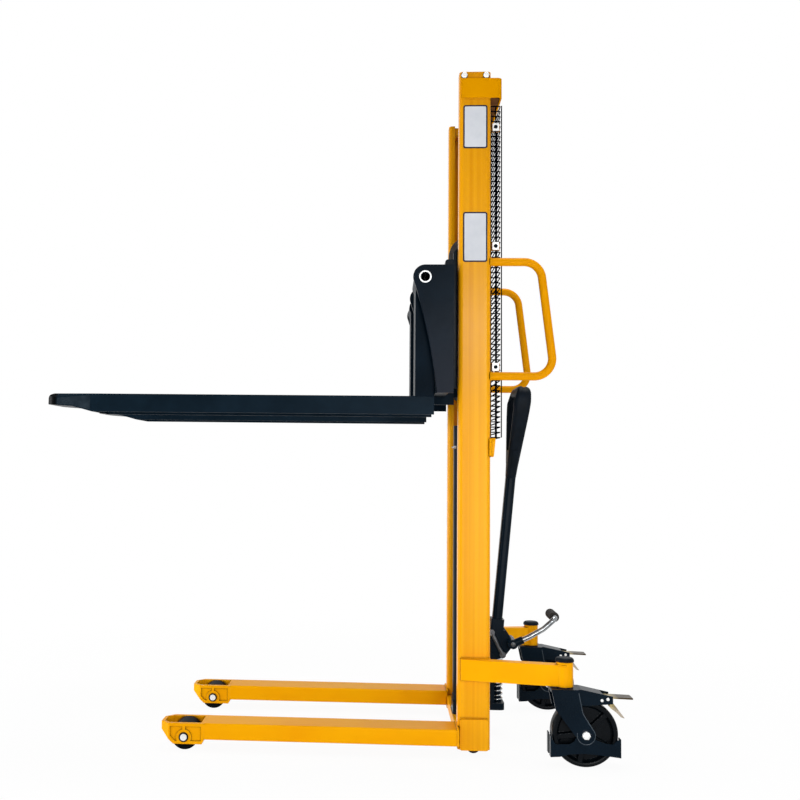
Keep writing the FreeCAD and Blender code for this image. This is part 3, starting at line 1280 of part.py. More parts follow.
def return_spring():
    """Coil spring round the plunger: quarter turns of a helix with straight upright ends."""
    r = SPRING_MEAN_R
    low = PUMP_TOP_Z + SPRING_WIRE + SPRING_LEAD
    high = CAP_UNDER_Z - SPRING_WIRE - SPRING_LEAD
    steps = 4 * SPRING_TURNS
    climb = (high - low) / SPRING_TURNS / (2 * math.pi)
    places = []
    for step in range(steps + 1):
        angle = math.pi / 2 * step
        point = V(PLUNGER_X + r * math.cos(angle), r * math.sin(angle), low + climb * angle)
        heading = V(-r * math.sin(angle), r * math.cos(angle), climb).normalize()
        places.append((point, heading))
    first = V(PLUNGER_X + r, -SPRING_LEAD, PUMP_TOP_Z + SPRING_WIRE)
    last = V(PLUNGER_X + r, SPRING_LEAD, CAP_UNDER_Z - SPRING_WIRE)
    places = [(first, Z_AXIS)] + places + [(last, Z_AXIS)]
    edges = [line(first - Z_AXIS * SPRING_WIRE, first)]
    for (p0, t0), (p1, t1) in zip(places, places[1:]):
        edges.extend(biarc(p0, V(t0), p1, V(t1)))
    edges.append(line(last, last + Z_AXIS * SPRING_WIRE))
    path = Part.Wire(edges)
    print("spring: least gap to itself", round(own_gap(path, SPRING_WIRE), 2), "mm")
    return sweep_round(path, SPRING_WIRE / 2)


def own_gap(path, wire):
    """Least gap between stretches of a wire that lie well apart along it."""
    points = path.discretize(Number=600)
    step = path.Length / (len(points) - 1)
    apart = int(math.pi * wire * 1.5 / step)
    least = min((points[i] - points[j]).Length
                for i in range(0, len(points), 2) for j in range(i + apart, len(points), 2))
    return least - wire


# Tiller, trigger and pedal

def upright(shape):
    """Piece drawn upright over the tiller's base, leaned to its place."""
    copy = shape.copy()
    copy.translate(V(TILLER_BASE_X, 0, TILLER_BASE_Z))
    return turned(copy, V(TILLER_BASE_X, 0, TILLER_BASE_Z), TILLER_LEAN)


def tiller_section(shrink, low, high):
    """Rounded oblong bar of the tiller's section."""
    hx = TILLER_X / 2 - shrink
    hy = TILLER_Y / 2 - shrink
    return rounded(box(-hx, hx, -hy, hy, low, high), Z_AXIS, TILLER_CORNER - shrink)


def tiller_tube():
    """Tiller's tube."""
    shape = tiller_section(0, 0, TILLER_TUBE_TOP).cut(tiller_section(TILLER_WALL, 0, TILLER_TUBE_TOP))
    return upright(shape)


def tiller_rocker():
    """Rocker: two plates on the pivot, a roller for the plunger, a cup for the tube, a pedal hub."""
    inner = ROCKER_INNER / 2
    outer = inner + ROCKER_PLATE
    foot = TILLER_BASE_Z
    pieces = []
    for y in (-outer, inner):
        side = plate([(PIVOT_X - PIVOT_D, PIVOT_Z), (PIVOT_X, PIVOT_Z - ROCKER_BELOW),
                      (LEVER_ROLLER_X + LEVER_ROLLER_D, LEVER_ROLLER_Z - ROCKER_NOSE),
                      (HUB_X, HUB_Z - HUB_D / 2), (HUB_X, HUB_Z + HUB_D / 3),
                      (TILLER_BASE_X + TILLER_X, foot + TILLER_X),
                      (TILLER_BASE_X - ROCKER_SHOULDER, foot + ROCKER_SHOULDER)], y, y + ROCKER_PLATE)
        pieces.append(side)
        pieces.append(rod_y(PIVOT_X, PIVOT_Z, y, y + ROCKER_PLATE, PIVOT_D))
    roller = rod_y(LEVER_ROLLER_X, LEVER_ROLLER_Z, -LEVER_ROLLER_W / 2, LEVER_ROLLER_W / 2,
                   LEVER_ROLLER_D / 2)
    roller_pin = rod_y(LEVER_ROLLER_X, LEVER_ROLLER_Z, -outer, outer, LEVER_ROLLER_D / 3)
    hub = rod_y(HUB_X, HUB_Z, PEDAL_Y - PEDAL_ROD_D / 2 - SKIN_GAP, outer, HUB_D / 2)
    wall = SOCKET_CUP_WALL
    cup = box(-TILLER_X / 2 - wall, TILLER_X / 2 + wall, -outer, outer, -wall, SOCKET_CUP_TOP)
    cup = upright(rounded(cup, Z_AXIS, wall))
    shape = union(cup, roller, roller_pin, hub, *pieces)
    shape = shape.cut(upright(tiller_section(0, 0, 2 * SOCKET_CUP_TOP)))
    shape = shape.cut(rod(*pedal_entry(), PEDAL_ROD_D / 2 + RUN_FIT))
    return shape.cut(rod_y(PIVOT_X, PIVOT_Z, -2 * outer, 2 * outer, PIVOT_D / 2 + RUN_FIT))


def pedal_entry():
    """Start of the pedal's rod inside its hub, and a point on its first run."""
    first = V(HUB_X, PEDAL_Y, HUB_Z)
    knee = V(PEDAL_KNEES[0][0], PEDAL_Y, PEDAL_KNEES[0][1])
    return first, knee


def tiller_loop():
    """Handle loop: a rounded ring seen from the front, thinned towards its neck seen from the side."""
    neck = LOOP_NECK
    half = LOOP_HALF_WIDTH
    shoulder = LOOP_TOP - LOOP_SHOULDER
    outer_pts = [(-neck, LOOP_BOTTOM), (neck, LOOP_BOTTOM), (half, shoulder - LOOP_LIMB),
                 (half, LOOP_TOP), (-half, LOOP_TOP), (-half, shoulder - LOOP_LIMB)]
    inner_half = half - LOOP_LIMB
    inner_low = LOOP_BOTTOM + LOOP_CROTCH
    inner_top = LOOP_TOP - LOOP_TOP_BAR
    inner_pts = [(-neck / 3, inner_low), (neck / 3, inner_low), (inner_half, shoulder - LOOP_LIMB),
                 (inner_half, inner_top), (-inner_half, inner_top), (-inner_half, shoulder - LOOP_LIMB)]
    reach = 2 * TILLER_X
    outer = front_plate(outer_pts, reach)
    tops = [e for e in edges_along(outer, X_AXIS) if e.Vertexes[0].Z > LOOP_TOP - 1]
    outer = outer.makeFillet(LOOP_CORNER, tops)
    inner = front_plate(inner_pts, 2 * reach)
    tops = [e for e in edges_along(inner, X_AXIS) if e.Vertexes[0].Z > inner_top - 1]
    ring = outer.cut(inner.makeFillet(LOOP_INNER_CORNER, tops))
    side = plate([(-TILLER_X / 2, LOOP_BOTTOM), (TILLER_X / 2, LOOP_BOTTOM), (LOOP_BACK, shoulder),
                  (LOOP_BACK, LOOP_TOP - LOOP_TOP_BAR / 2), (LOOP_TOP_BACK, LOOP_TOP),
                  (-LOOP_TOP_FRONT, LOOP_TOP), (-LOOP_FRONT, shoulder)], -2 * half, 2 * half)
    shape = ring.common(side)
    shape = shape.cut(tiller_section(0, 0, TILLER_TUBE_TOP))
    return upright(union(shape, *trigger_ears()))


def front_plate(points, reach):
    """Plate whose outline, a list of (y, z), runs through the tiller's depth."""
    corners = [V(-reach, y, z) for y, z in points]
    return Part.Face(Part.makePolygon(corners + corners[:1])).extrude(V(2 * reach, 0, 0))


def trigger_z():
    """Height of the trigger's pin on the upright tiller."""
    return LOOP_TOP - LOOP_TOP_BAR - TRIGGER_BARREL_D / 2 - SKIN_GAP


def trigger_ears():
    """Two ears under the loop's top bar with the trigger's pin."""
    z = trigger_z()
    r = TRIGGER_BARREL_D / 2
    half = TRIGGER_W / 2 + TRIGGER_SIDE_GAP
    ears = [box(-r, r, y, y + TRIGGER_EAR, z - r, LOOP_TOP - LOOP_TOP_BAR)
            for y in (-half - TRIGGER_EAR, half)]
    pin = rod_y(0, z, -half - TRIGGER_EAR, half + TRIGGER_EAR, TRIGGER_PIN_D / 2)
    return ears + [pin]


def release_trigger():
    """Paddle that hangs from its pin inside the loop and opens the lowering valve."""
    z = trigger_z()
    r = TRIGGER_BARREL_D / 2
    half = TRIGGER_W / 2
    barrel = rod_y(0, z, -half, half, r)
    paddle = box(-TRIGGER_T / 2, TRIGGER_T / 2, -half, half, z - TRIGGER_LENGTH, z)
    corners = [e for e in edges_along(paddle, X_AXIS) if e.Vertexes[0].Z < z - 1]
    paddle = paddle.makeFillet(2 * TRIGGER_T, corners)
    shape = union(barrel, paddle)
    return upright(shape.cut(rod_y(0, z, -2 * half, 2 * half, TRIGGER_PIN_D / 2 + RUN_FIT)))


def pedal_arm():
    """Bent steel rod from the hub, turned across the machine at its end."""
    start, knee = pedal_entry()
    points = [start, knee, V(PEDAL_KNEES[1][0], PEDAL_Y, PEDAL_KNEES[1][1]), V(PAD_X, PEDAL_Y, PAD_Z),
              V(PAD_X, PAD_START_Y + PAD_LENGTH - SKIN_GAP, PAD_Z)]
    return sweep_round(bent_path(points, PEDAL_ROD_D), PEDAL_ROD_D / 2)


def pedal_pad():
    """Rubber sleeve on the end of the pedal's rod."""
    end = PAD_START_Y + PAD_LENGTH
    shape = rod_y(PAD_X, PAD_Z, PAD_START_Y, end, PAD_D / 2)
    rims = [e for e in shape.Edges if isinstance(e.Curve, Part.Circle)]
    shape = shape.makeFillet(SKIN_GAP, rims)
    return shape.cut(rod_y(PAD_X, PAD_Z, PAD_START_Y, end - SKIN_GAP, PEDAL_ROD_D / 2 + RUN_FIT))


def release_link():
    """Slim steel link beside the rocker."""
    top = V(LINK_TOP[0], LINK_Y, LINK_TOP[1])
    bottom = V(LINK_BOTTOM[0], LINK_Y, LINK_BOTTOM[1])
    inner = -ROCKER_INNER / 2 - ROCKER_PLATE
    pins = [rod_y(p.x, p.z, LINK_Y, inner, LINK_D / 4) for p in (top, bottom)]
    half = LINK_EYE_W / 2
    ends = [rod_y(p.x, p.z, LINK_Y - half, LINK_Y + half, LINK_EYE_D / 2) for p in (top, bottom)]
    return union(rod(top, bottom, LINK_D / 2), *ends, *pins)


def build_chassis():
    """Everything that stands still when the forks go up."""
    column = mast_column() + [foot_plate()]
    save("mast_column_left", *column)
    save("mast_column_right", *[mirrored(c) for c in column])
    save("top_crossbeam", top_beam())
    save("rear_crossbar", rear_crossbar())
    blocks = stop_block()
    save("carriage_stop_blocks", blocks, mirrored(blocks))
    bolts = stop_bolts()
    save("stop_block_bolts", *bolts, *[mirrored(b) for b in bolts])
    save("guard_panel", guard_panel())
    edge = guard_return()
    save("guard_returns", edge, mirrored(edge))
    clamps = guard_clamps()
    save("guard_clamps", *clamps, *[mirrored(c) for c in clamps])
    handle = grab_handle()
    save("grab_handles", handle, mirrored(handle))
    save("base_crossmember", base_crossmember())
    save_pair("leg", leg())
    save_pair("wheel_carrier", wheel_carrier())
    axles = [front_axle(), support_axle()]
    save("wheel_axles", *axles, *[mirrored(a) for a in axles])
    save_pair("outrigger_arm", outrigger_arm())
    cap = socket_cap()
    save("socket_caps", cap, mirrored(cap))
    save("lift_cylinder", *lift_cylinder())
    save("pump_body", pump_body())


def build_wheels():
    """Wheels, rollers and casters."""
    save_pair("front_wheel", front_wheel())
    save_pair("support_roller", support_roller())
    yoke, axle = caster_yoke()
    save("caster_yoke_left", yoke, axle)
    save("caster_yoke_right", mirrored(yoke), mirrored(axle))
    save_pair("caster_wheel", caster_wheel())
    guards = toe_guard()
    save("toe_guard_left", *guards)
    save("toe_guard_right", *[mirrored(g) for g in guards])
    save_pair("brake_pedal", brake_pedal())


def build_carriage():
    """Carriage, forks, and the lift that raises them."""
    save("carriage_upper_bar", upper_bar())
    save("carriage_lower_bar", lower_bar())
    save("carriage_cheeks", *cheeks())
    save("fork_shaft", fork_shaft())
    plates = roller_plate()
    save("roller_plates", plates, mirrored(plates))
    low, high = roller_heights()
    save_pair("lower_roller", carriage_roller(low))
    save_pair("upper_roller", carriage_roller(high))
    save_pair("fork_blade", fork_blade())
    save_pair("fork_shank", fork_shank())
    save("piston_rod", piston_rod())
    save("crosshead", crosshead())
    save("chain_sheave", chain_sheave())
    save("lift_chain_front", chain_front())
    save("lift_chain_rear", chain_rear())


def build_tiller():
    """Tiller, pump drive and pedal."""
    save("tiller_rocker", tiller_rocker())
    save("tiller_tube", tiller_tube())
    save("tiller_loop", tiller_loop())
    save("release_trigger", release_trigger())
    save("pedal_arm", pedal_arm())
    save("pedal_pad", pedal_pad())
    save("release_link", release_link())
    save("pump_plunger", pump_plunger())
    save("return_spring", return_spring())


os.makedirs("parts", exist_ok=True)
build_chassis()
build_wheels()
build_carriage()
build_tiller()
print("origin shift", round(ORIGIN_SHIFT.x, 3), "rod rest", ROD_REST, "sheave z", SHEAVE_Z,
      "shaft z", SHAFT_Z, "plunger top", round(PLUNGER_TOP_Z, 3))
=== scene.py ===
"""Looks of the hand pallet stacker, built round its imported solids.

The row frame is in metres, +Z up, the forks towards -X and the operator at +X. The near side of the
photograph is -Y. Sizes below are in millimetres with X counted from the front face of the mast, as
the maker would measure them; place() turns them into the row frame.
"""

import json
import math

import bmesh
import bpy
import numpy as np
from mathutils import Matrix


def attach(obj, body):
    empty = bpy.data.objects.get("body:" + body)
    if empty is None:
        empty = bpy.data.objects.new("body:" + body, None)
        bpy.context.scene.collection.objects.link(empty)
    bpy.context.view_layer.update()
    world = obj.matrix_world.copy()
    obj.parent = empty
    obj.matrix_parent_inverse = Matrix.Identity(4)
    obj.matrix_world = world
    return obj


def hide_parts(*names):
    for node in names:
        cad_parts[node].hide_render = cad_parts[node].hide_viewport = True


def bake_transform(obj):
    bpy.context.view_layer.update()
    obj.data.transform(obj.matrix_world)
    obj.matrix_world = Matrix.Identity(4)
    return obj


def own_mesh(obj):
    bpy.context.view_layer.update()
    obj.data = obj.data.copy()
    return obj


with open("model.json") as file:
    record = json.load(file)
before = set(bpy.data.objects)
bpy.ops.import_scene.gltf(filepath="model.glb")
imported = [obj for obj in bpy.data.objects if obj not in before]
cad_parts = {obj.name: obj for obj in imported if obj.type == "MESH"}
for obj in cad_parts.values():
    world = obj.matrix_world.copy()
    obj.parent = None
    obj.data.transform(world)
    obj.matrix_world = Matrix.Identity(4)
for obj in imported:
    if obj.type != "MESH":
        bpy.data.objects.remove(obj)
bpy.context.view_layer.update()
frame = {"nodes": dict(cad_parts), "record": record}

MM = 0.001
MERGE = 1e-6                   # metres between points that are one
MAST_X = 359.0                 # mast front face in the row frame
MAST_OUT = 264.0               # outer face of the columns, from the middle
SIDES = (-1, 1)                # near side and far side of the machine, or of a piece
SIDE_NAMES = {-1: "left", 1: "right"}
LENGTHWISE, CROSSWISE, UPWARDS = (1, 0, 0), (0, 1, 0), (0, 0, 1)

# Camera, fitted to the straight edges of the photograph
CAMERA_PLACE = (0.1467, -3.1189, 0.8197)
CAMERA_YAW = 0.056
CAMERA_PITCH = 0.0648
CAMERA_ROLL = -0.0118
FOCAL_PIXELS = 983.976
PICTURE_PIXELS = 800
CENTRE_PIXEL_X = 330
SENSOR = 36.0

# Studio, in metres and watts
WHITE = (1, 1, 1, 1)
FLOOR_REACH = 30.0
FLOOR_FADE = (1.0, 2.2)        # distances between which the floor's last grey goes
FLOOR_GLOW = 0.95              # share of plain white near the machine
WORLD_LIGHT = 0.20             # world's strength as a lamp; the camera sees it white
SOFT_BOXES = (                 # name, place, aim, size and power of each
    ("soft_box_fork_side", (-4.3, -0.6, 0.8), (0.2, 0, 0.7), 2.0, 140.0),
    ("soft_box_tiller_side", (3.6, -2.6, 0.6), (0.2, 0, 0.5), 2.0, 14.0),
    ("soft_box_front", (0.8, -4.6, 1.8), (0.3, 0, 0.8), 0.5, 32.0),
    ("soft_box_low", (0.9, -3.4, 0.25), (0.3, 0, 0.2), 1.8, 46.0),
    ("soft_box_over", (0.6, 0.3, 6.0), (0.2, 0, 0.7), 3.0, 230.0))

# Patterns of the materials
NOISE_RANGE = {"From Min": 0.3, "From Max": 0.7}      # noise where a pattern starts and is full
RUBBED_RANGE = {"From Min": 0.97, "From Max": 0.80}   # the same for wear, over the edge's turn
NOOK_RANGE = {"From Min": 0.90, "From Max": 0.45}     # and for grime and painted shade, over how open a place is
NOOK_REACH = 9.0

# Mesh guard
GUARD_FRONT = 93.0
GUARD_BACK = 128.0
GUARD_OUT = 236.0
GUARD_LOW = 900.0
GUARD_HIGH = 1889.0
GUARD_WIRE_R = 1.9
GUARD_WELD = 0.9               # distance of welded wires, as a share of their diameter
GUARD_UPRIGHT = 108.0          # upright wires of the back panel, from the middle
GUARD_ROWS = 65
GUARD_BEND = 5.0
CLAMP_X = 109.0
CLAMP_Z = (1107.55, 1464.88, 1822.22)
CLAMP_W = 20.0
CLAMP_H = 24.0
CLAMP_T = 2.5
CLAMP_CORNER = 2.5
CLAMP_EDGE = 0.8

# Top beam's inside, lined with a dark sheet that is painted shade
BEAM_LOW = 1902.0
BEAM_HIGH = 1958.0
BEAM_PLAN = ((93.0, -263.6), (101.0, -263.6), (117.5, -247.0),
             (117.5, 247.0), (101.0, 263.6), (93.0, 263.6))
BEAM_SKIN = 0.6
BEAM_SKIN_WIDTH = 0.9977       # skin's inner face, as a share of the plan's width
BEAM_FLANGE = (0.2, 1.7)       # underside and top of the flange, over the beam's lower edge
BEAM_FLANGE_GAP = 0.3          # between the flange and the skin round it
BEAM_FLANGE_WIDTH = 0.9985     # flange, as a share of the width inside the skin

# Lift chain and sheave
CHAIN_X = 46.0
CHAIN_R = 52.0
CHAIN_TOP = 1483.5
CHAIN_FRONT_END = 1063.0
CHAIN_REAR_END = 900.0
CHAIN_PITCH = 15.875
CHAIN_PLATE_R = 5.8
CHAIN_PLATE_T = 2.0
CHAIN_WAIST = 0.72             # height of a plate's middle, as a share of its ends
CHAIN_PIN_R = 2.6
CHAIN_HALF_W = 9.4
CHAIN_LACING = ((-7.6, 0.0, 7.6), (-5.0, -2.6, 2.6, 5.0))     # plates of every other link

# Return spring of the pump
SPRING_X = 140.0
SPRING_LOW = 98.0
SPRING_HIGH = 223.6
SPRING_R = 15.5
SPRING_WIRE_R = 2.1
SPRING_TURNS = 8.0
SPRING_DEAD_TURNS = 1.0
SPRING_DEAD_RISE = 2.1         # rise of a closed turn, in radii of the wire
SPRING_STEPS = 40              # points to a turn

# Casters
CASTER_X = 342.0
CASTER_Y = 316.0
CASTER_Z = 90.0
CASTER_WEB = 12.0              # half width of the wheel in its web
CASTER_FACE = 23.5             # and at its hub and rim
SPOKES = 5
SPOKE_TURN = 0.75              # angle of the first spoke
SPOKE_HALF = 9.5               # half width of a spoke at its foot
SPOKE_SLOPE = 3.0
SPOKE_RISE = 0.86              # height of a spoke over the web, as a share of the rim's
YOKE_OUT = 37.0                # outer faces of the yoke, from the wheel's middle
YOKE_EDGE = ((322.0, 205.0), (326.0, 185.0), (332.6, 149.6), (338.0, 140.0))
YOKE_RIM_R = 24.8              # pressed rim where it goes round the axle
BRAKE_OUT = 31.0               # sides of the brake housing, from the wheel's middle
BRAKE_RIVETS = ((385.9, 183.2), (402.1, 186.8))
BRAKE_PIVOT = (404.0, 183.0)
BRAKE_ALONG = (0.652, -0.758)  # down the pedal's lower tongue
BRAKE_UNDER = (-0.758, -0.652)
BRAKE_FLANGE = (12.0, 14.0)    # inner and outer face of a flange, from the pedal's middle

# Mast, legs and base
ARM_TOP = 272.0
SOCKET_X = 291.0
SOCKET_R = 23.0
HANDLE_Y = 250.0
HANDLE_Z = (1414.5, 1079.5)
HANDLE_R = 12.2
STOP_BOLT_X = (14.0, 78.0)
STOP_BOLT_Z = 1968.76
FRONT_AXLE_X = -777.0
FRONT_AXLE_Z = 39.0
LEG_Y = 240.0
LEG_HALF = 50.0
BLEED_SCREW = (11.0, -20.0, 876.0)
LABEL_X = 46.5
LABEL_W = 71.0
LABEL_LINE = 4.25              # width of a label's printed edge line
LABELS = ((1814.5, 130.0), (1486.0, 148.0))                   # height of the middle, and size

# Weld beads: points on the far side, radius, and the way that a section's start faces
FRAME_WELDS = (
    ([(0, 190, 79.5), (0, 290, 79.5), (0, 290, 34)], 3.0, LENGTHWISE),  # leg on the column
    ([(8, 263.5, 272), (92, 264, 272)], 2.6, CROSSWISE),         # outrigger arm's top,
    ([(8, 264, 214), (92, 264, 214)], 2.6, CROSSWISE),           # underside
    ([(8, 263.5, 215), (8, 264, 271)], 2.6, CROSSWISE),          # and front
    ([(6.5, 264, 104), (85.5, 264, 104)], 2.4, CROSSWISE),       # doubler on the foot
    ([(6, 264, 1901.5), (92, 264, 1901.5)], 2.2, CROSSWISE),     # top beam
    ([(92, 263, 848), (92, 263, 897)], 4.2, CROSSWISE))          # rear crossbar
CARRIAGE_WELDS = (
    ([(-46.5, 363, 1340), (-46.5, 363, 1380)], 3.0, CROSSWISE),  # cheek on the upper bar
    ([(-72.5, 363, 1022), (-72.5, 363, 1060)], 1.2, CROSSWISE))  # and on the lower bar
SOCKET_WELD_R = 2.2
HANDLE_WELD_R = 2.4
HANDLE_WELD_X = 92.5
BEAD_STEP = 1.3
BEAD_RIPPLE = (4.0, 0.13)      # spacing, and height as a share of the radius
BEAD_WAVER = (23.0, 0.08)

# Fork shaft and forks
SHAFT_X = -102.0
SHAFT_Z = 1348.0
FORK_OUT = 336.0
NOSE_PANEL = ((-1157.0, 1001.5), (-1060.0, 1009.5), (-1060.0, 967.0), (-1113.0, 980.5),
              (-1157.0, 983.0))

# Tiller and foot pedal
TILLER_X = 135.0
TILLER_Z = 286.0
TILLER_LEAN = math.radians(5.4)
LOOP_PATH = ((-14, 540), (-84.0, 706), (-84.0, 767.5), (84.0, 767.5), (84.0, 706), (14, 540))
LOOP_BEND = 54.0               # length over which its corners are rounded
LOOP_POWER = 3.4               # 2 would be an ellipse, more is squarer
LOOP_GROOVE = 2.2              # its depth, and its width as a share of the section's depth
LOOP_GROOVE_WIDTH = 0.22
NECK_LOW = 497.0
NECK_HIGH = 584.0
NECK_LEAN = 0.02
SLEEVE_CENTRE = (312.0, 0.0, 358.0)
SLEEVE_START = -30.0
SLEEVE_END = 54.0
SLEEVE_R = 15.0
SLEEVE_BORE_R = 8.1
SLEEVE_BORE_END = 51.0
SLEEVE_GROOVE = 0.55
SLEEVE_GROOVE_PITCH = 7.0
SLEEVE_EDGE = 2.2              # rounding of its two edges, and how fast it goes
SLEEVE_EDGE_RUN = 1.2
PEDAL_ROD = ((183.0, -50.0, 278.0), (213.0, -50.0, 291.4))    # where the clamp holds it
PEDAL_CLAMP_R = 11.5
PEDAL_BOLT = (183.0, -60.0, 278.0)


def place(points):
    """Machine millimetres to the row frame's metres."""
    return (np.asarray(points, float) + (MAST_X, 0.0, 0.0)) * MM


def leaned(points):
    """Points on the upright tiller, over its base, turned about the cross axis to its lean."""
    x, y, z = np.moveaxis(np.asarray(points, float), -1, 0)
    cos, sin = math.cos(TILLER_LEAN), math.sin(TILLER_LEAN)
    return np.stack([TILLER_X + x * cos + z * sin, y, TILLER_Z - x * sin + z * cos], -1)


def unit(vectors):
    """Vectors scaled to length 1."""
    return vectors / np.maximum(np.linalg.norm(vectors, axis=-1, keepdims=True), 1e-9)


def circle(count):
    """Angles of points spread evenly round a circle."""
    return np.linspace(0, 2 * math.pi, count, endpoint=False)


def stood(line, y):
    """Line of (x, z) points stood up at one place across the machine."""
    return np.insert(np.asarray(line, float), 1, y, axis=1)


def even_run(points, step, least=2):
    """Polyline sampled evenly, about a step apart: its points, and how far along they are."""
    points = np.asarray(points, float)
    lengths = np.linalg.norm(np.diff(points, axis=0), axis=-1)
    corners = np.concatenate([[0.0], np.cumsum(lengths)])
    along = np.linspace(0, corners[-1], max(int(corners[-1] / step), least))
    path = np.stack([np.interp(along, corners, axis) for axis in points.T], -1)
    return path, along


def smooth_run(points, step, window):
    """Polyline sampled evenly and averaged over a sliding window, which rounds its corners."""
    path, _ = even_run(points, step)
    half = int(window / step / 2)
    padded = np.concatenate([np.repeat(path[:1], half, 0), path, np.repeat(path[-1:], half, 0)])
    sums = np.cumsum(np.concatenate([np.zeros((1, path.shape[1])), padded]), axis=0)
    width = 2 * half + 1
    return (sums[width:] - sums[:-width]) / width


def quads(shape, hollow):
    """Corner numbers of the quads between neighbours on copies of a grid of rings."""
    index = np.arange(np.prod(shape)).reshape(shape)
    if hollow:
        index = np.concatenate([index, index[:, :1]], axis=1)
    index = np.concatenate([index, index[:, :, :1]], axis=2)
    corners = (index[:, :-1, :-1], index[:, 1:, :-1], index[:, 1:, 1:], index[:, :-1, 1:])
    return np.stack(corners, -1).reshape(-1, 4)


def piece(name, grids, material, body, sharp=40.0, stands_for=(), hollow=False):
    """One closed mesh on a CAD body, from grids of points whose rows are rings.

    The first and last ring of a grid are points, or in a hollow piece they are neighbours. body is
    None for a piece that is left on no body, and sharp is the least angle of an edge that stays
    sharp.
    """
    points, faces, count = [], [], 0
    for grid in grids:
        grid = grid.reshape((-1,) + grid.shape[-3:])
        points.append(grid.reshape(-1, 3))
        faces.append(quads(grid.shape[:3], hollow) + count)
        count += len(points[-1])
    mesh = bpy.data.meshes.new(name)
    mesh.from_pydata(place(np.concatenate(points)).tolist(), [], np.concatenate(faces).tolist())
    work = bmesh.new()
    work.from_mesh(mesh)
    bmesh.ops.remove_doubles(work, verts=work.verts, dist=MERGE)
    bmesh.ops.dissolve_degenerate(work, edges=work.edges, dist=MERGE / 10)
    bmesh.ops.recalc_face_normals(work, faces=work.faces)
    work.to_mesh(mesh)
    work.free()
    mesh.shade_smooth()
    mesh.set_sharp_from_angle(angle=math.radians(sharp))
    made = bpy.data.objects.new(name, mesh)
    bpy.context.scene.collection.objects.link(made)
    mesh.materials.append(material)
    if body:
        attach(made, body)
    if stands_for:
        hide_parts(*stands_for)
    return made


def closed_ends(grid):
    """Grid of rings with its first and last ring drawn to their middles."""
    first, last = grid[..., :1, :, :], grid[..., -1:, :, :]
    start = np.broadcast_to(first.mean(-2, keepdims=True), first.shape)
    end = np.broadcast_to(last.mean(-2, keepdims=True), last.shape)
    return np.concatenate([start, grid, end], axis=-3)


def prism(line, depths):
    """Solid between flat copies of an outline of (x, z) points."""
    return closed_ends(np.stack([stood(line, y) for y in depths]))


def tube(path, radius, sides, up):
    """Round bar: a circle carried along a path, square to it, its start turned to face up."""
    path = np.asarray(path, float)
    along = unit(np.gradient(path, axis=-2))
    across = unit(np.cross(along, np.broadcast_to(np.asarray(up, float), along.shape)))
    top = np.cross(across, along)
    angle = circle(sides)[:, None]
    ring = np.cos(angle) * across[..., None, :] + np.sin(angle) * top[..., None, :]
    radius = np.broadcast_to(np.asarray(radius, float), path.shape[:-1])
    return closed_ends(path[..., None, :] + radius[..., None, None] * ring)


def turned(profile, centre, sides, way=1, shape=None):
    """Turned piece on a cross axis: radius and offset of each profile point swung round the centre.

    way is -1 for offsets towards the near side. shape, a function of the angle, scales the radius
    of the rows that the profile marks with 1.
    """
    profile = np.asarray(profile, float)
    angle = circle(sides)
    radius = np.repeat(profile[:, :1], sides, axis=1)
    if shape is not None:
        radius = radius * np.where(profile[:, 2:3] > 0, shape(angle)[None, :], 1.0)
    offset = np.broadcast_to(way * profile[:, 1:2], radius.shape)
    return np.stack([centre[0] + radius * np.cos(angle), centre[1] + offset,
                     centre[2] + radius * np.sin(angle)], -1)


def hexagon(angle):
    """Distance to the side of a hexagon of inner radius 1."""
    return 1.0 / np.cos((angle % (math.pi / 3)) - math.pi / 6)


def hex_bolt(centre, flats, height, seat_ring, way):
    """Washer, chamfered hexagon and domed end of a bolt on a cross axis, standing out one way."""
    half = flats / 2
    seat = 1.6
    top = seat + height
    profile = [(0, 0, 0), (seat_ring, 0, 0), (seat_ring, 1.2, 0), (seat_ring - 0.5, seat, 0),
               (half, seat, 1), (half, seat + height * 0.8, 1),
               (half * 0.98, seat + height * 0.9, 0), (half * 0.86, top, 0),
               (half * 0.5, top, 0), (half * 0.45, top + 1.0, 0), (0, top + 1.3, 0)]
    return turned(profile, centre, 36, way, hexagon)


def rounded_oblong(width, height, corner, steps=8):
    """Outline of a rectangle with round corners, as offsets (across, up)."""
    angle = np.linspace(0, math.pi / 2, steps)
    arcs = []
    for turn, (sx, sz) in enumerate(((1, 1), (-1, 1), (-1, -1), (1, -1))):
        a = angle + turn * math.pi / 2
        arcs.append(np.stack([sx * (width / 2 - corner) + corner * np.cos(a),
                              sz * (height / 2 - corner) + corner * np.sin(a)], -1))
    return np.concatenate(arcs)


def side_plate(centre, width, height, corner, low, high, edge):
    """Thin plate on a side face: round-cornered outline from depth low to high with eased edges."""
    rows = []
    for inset, depth in ((0, low), (0, high * 0.6 + low * 0.4), (edge, high)):
        line = rounded_oblong(width - 2 * inset, height - 2 * inset, corner - inset)
        rows.append(stood(line + centre, depth))
    return closed_ends(np.stack(rows))


def bead(points, radius, up):
    """Weld bead: a thin bar along straight runs between points, rippled and a little uneven."""
    path, along = even_run(points, BEAD_STEP, 8)
    turn = 2 * math.pi * along
    ripple = (1.0 + BEAD_RIPPLE[1] * np.cos(turn / BEAD_RIPPLE[0])
              + BEAD_WAVER[1] * np.sin(turn / BEAD_WAVER[0]))
    return tube(path, radius * ripple, 8, up)


def linear(code):
    """sRGB hex colour to linear red, green, blue, alpha."""
    values = [int(code[k:k + 2], 16) / 255 for k in (1, 3, 5)]
    return tuple(v / 12.92 if v <= 0.04045 else ((v + 0.055) / 1.055) ** 2.4
                 for v in values) + (1.0,)


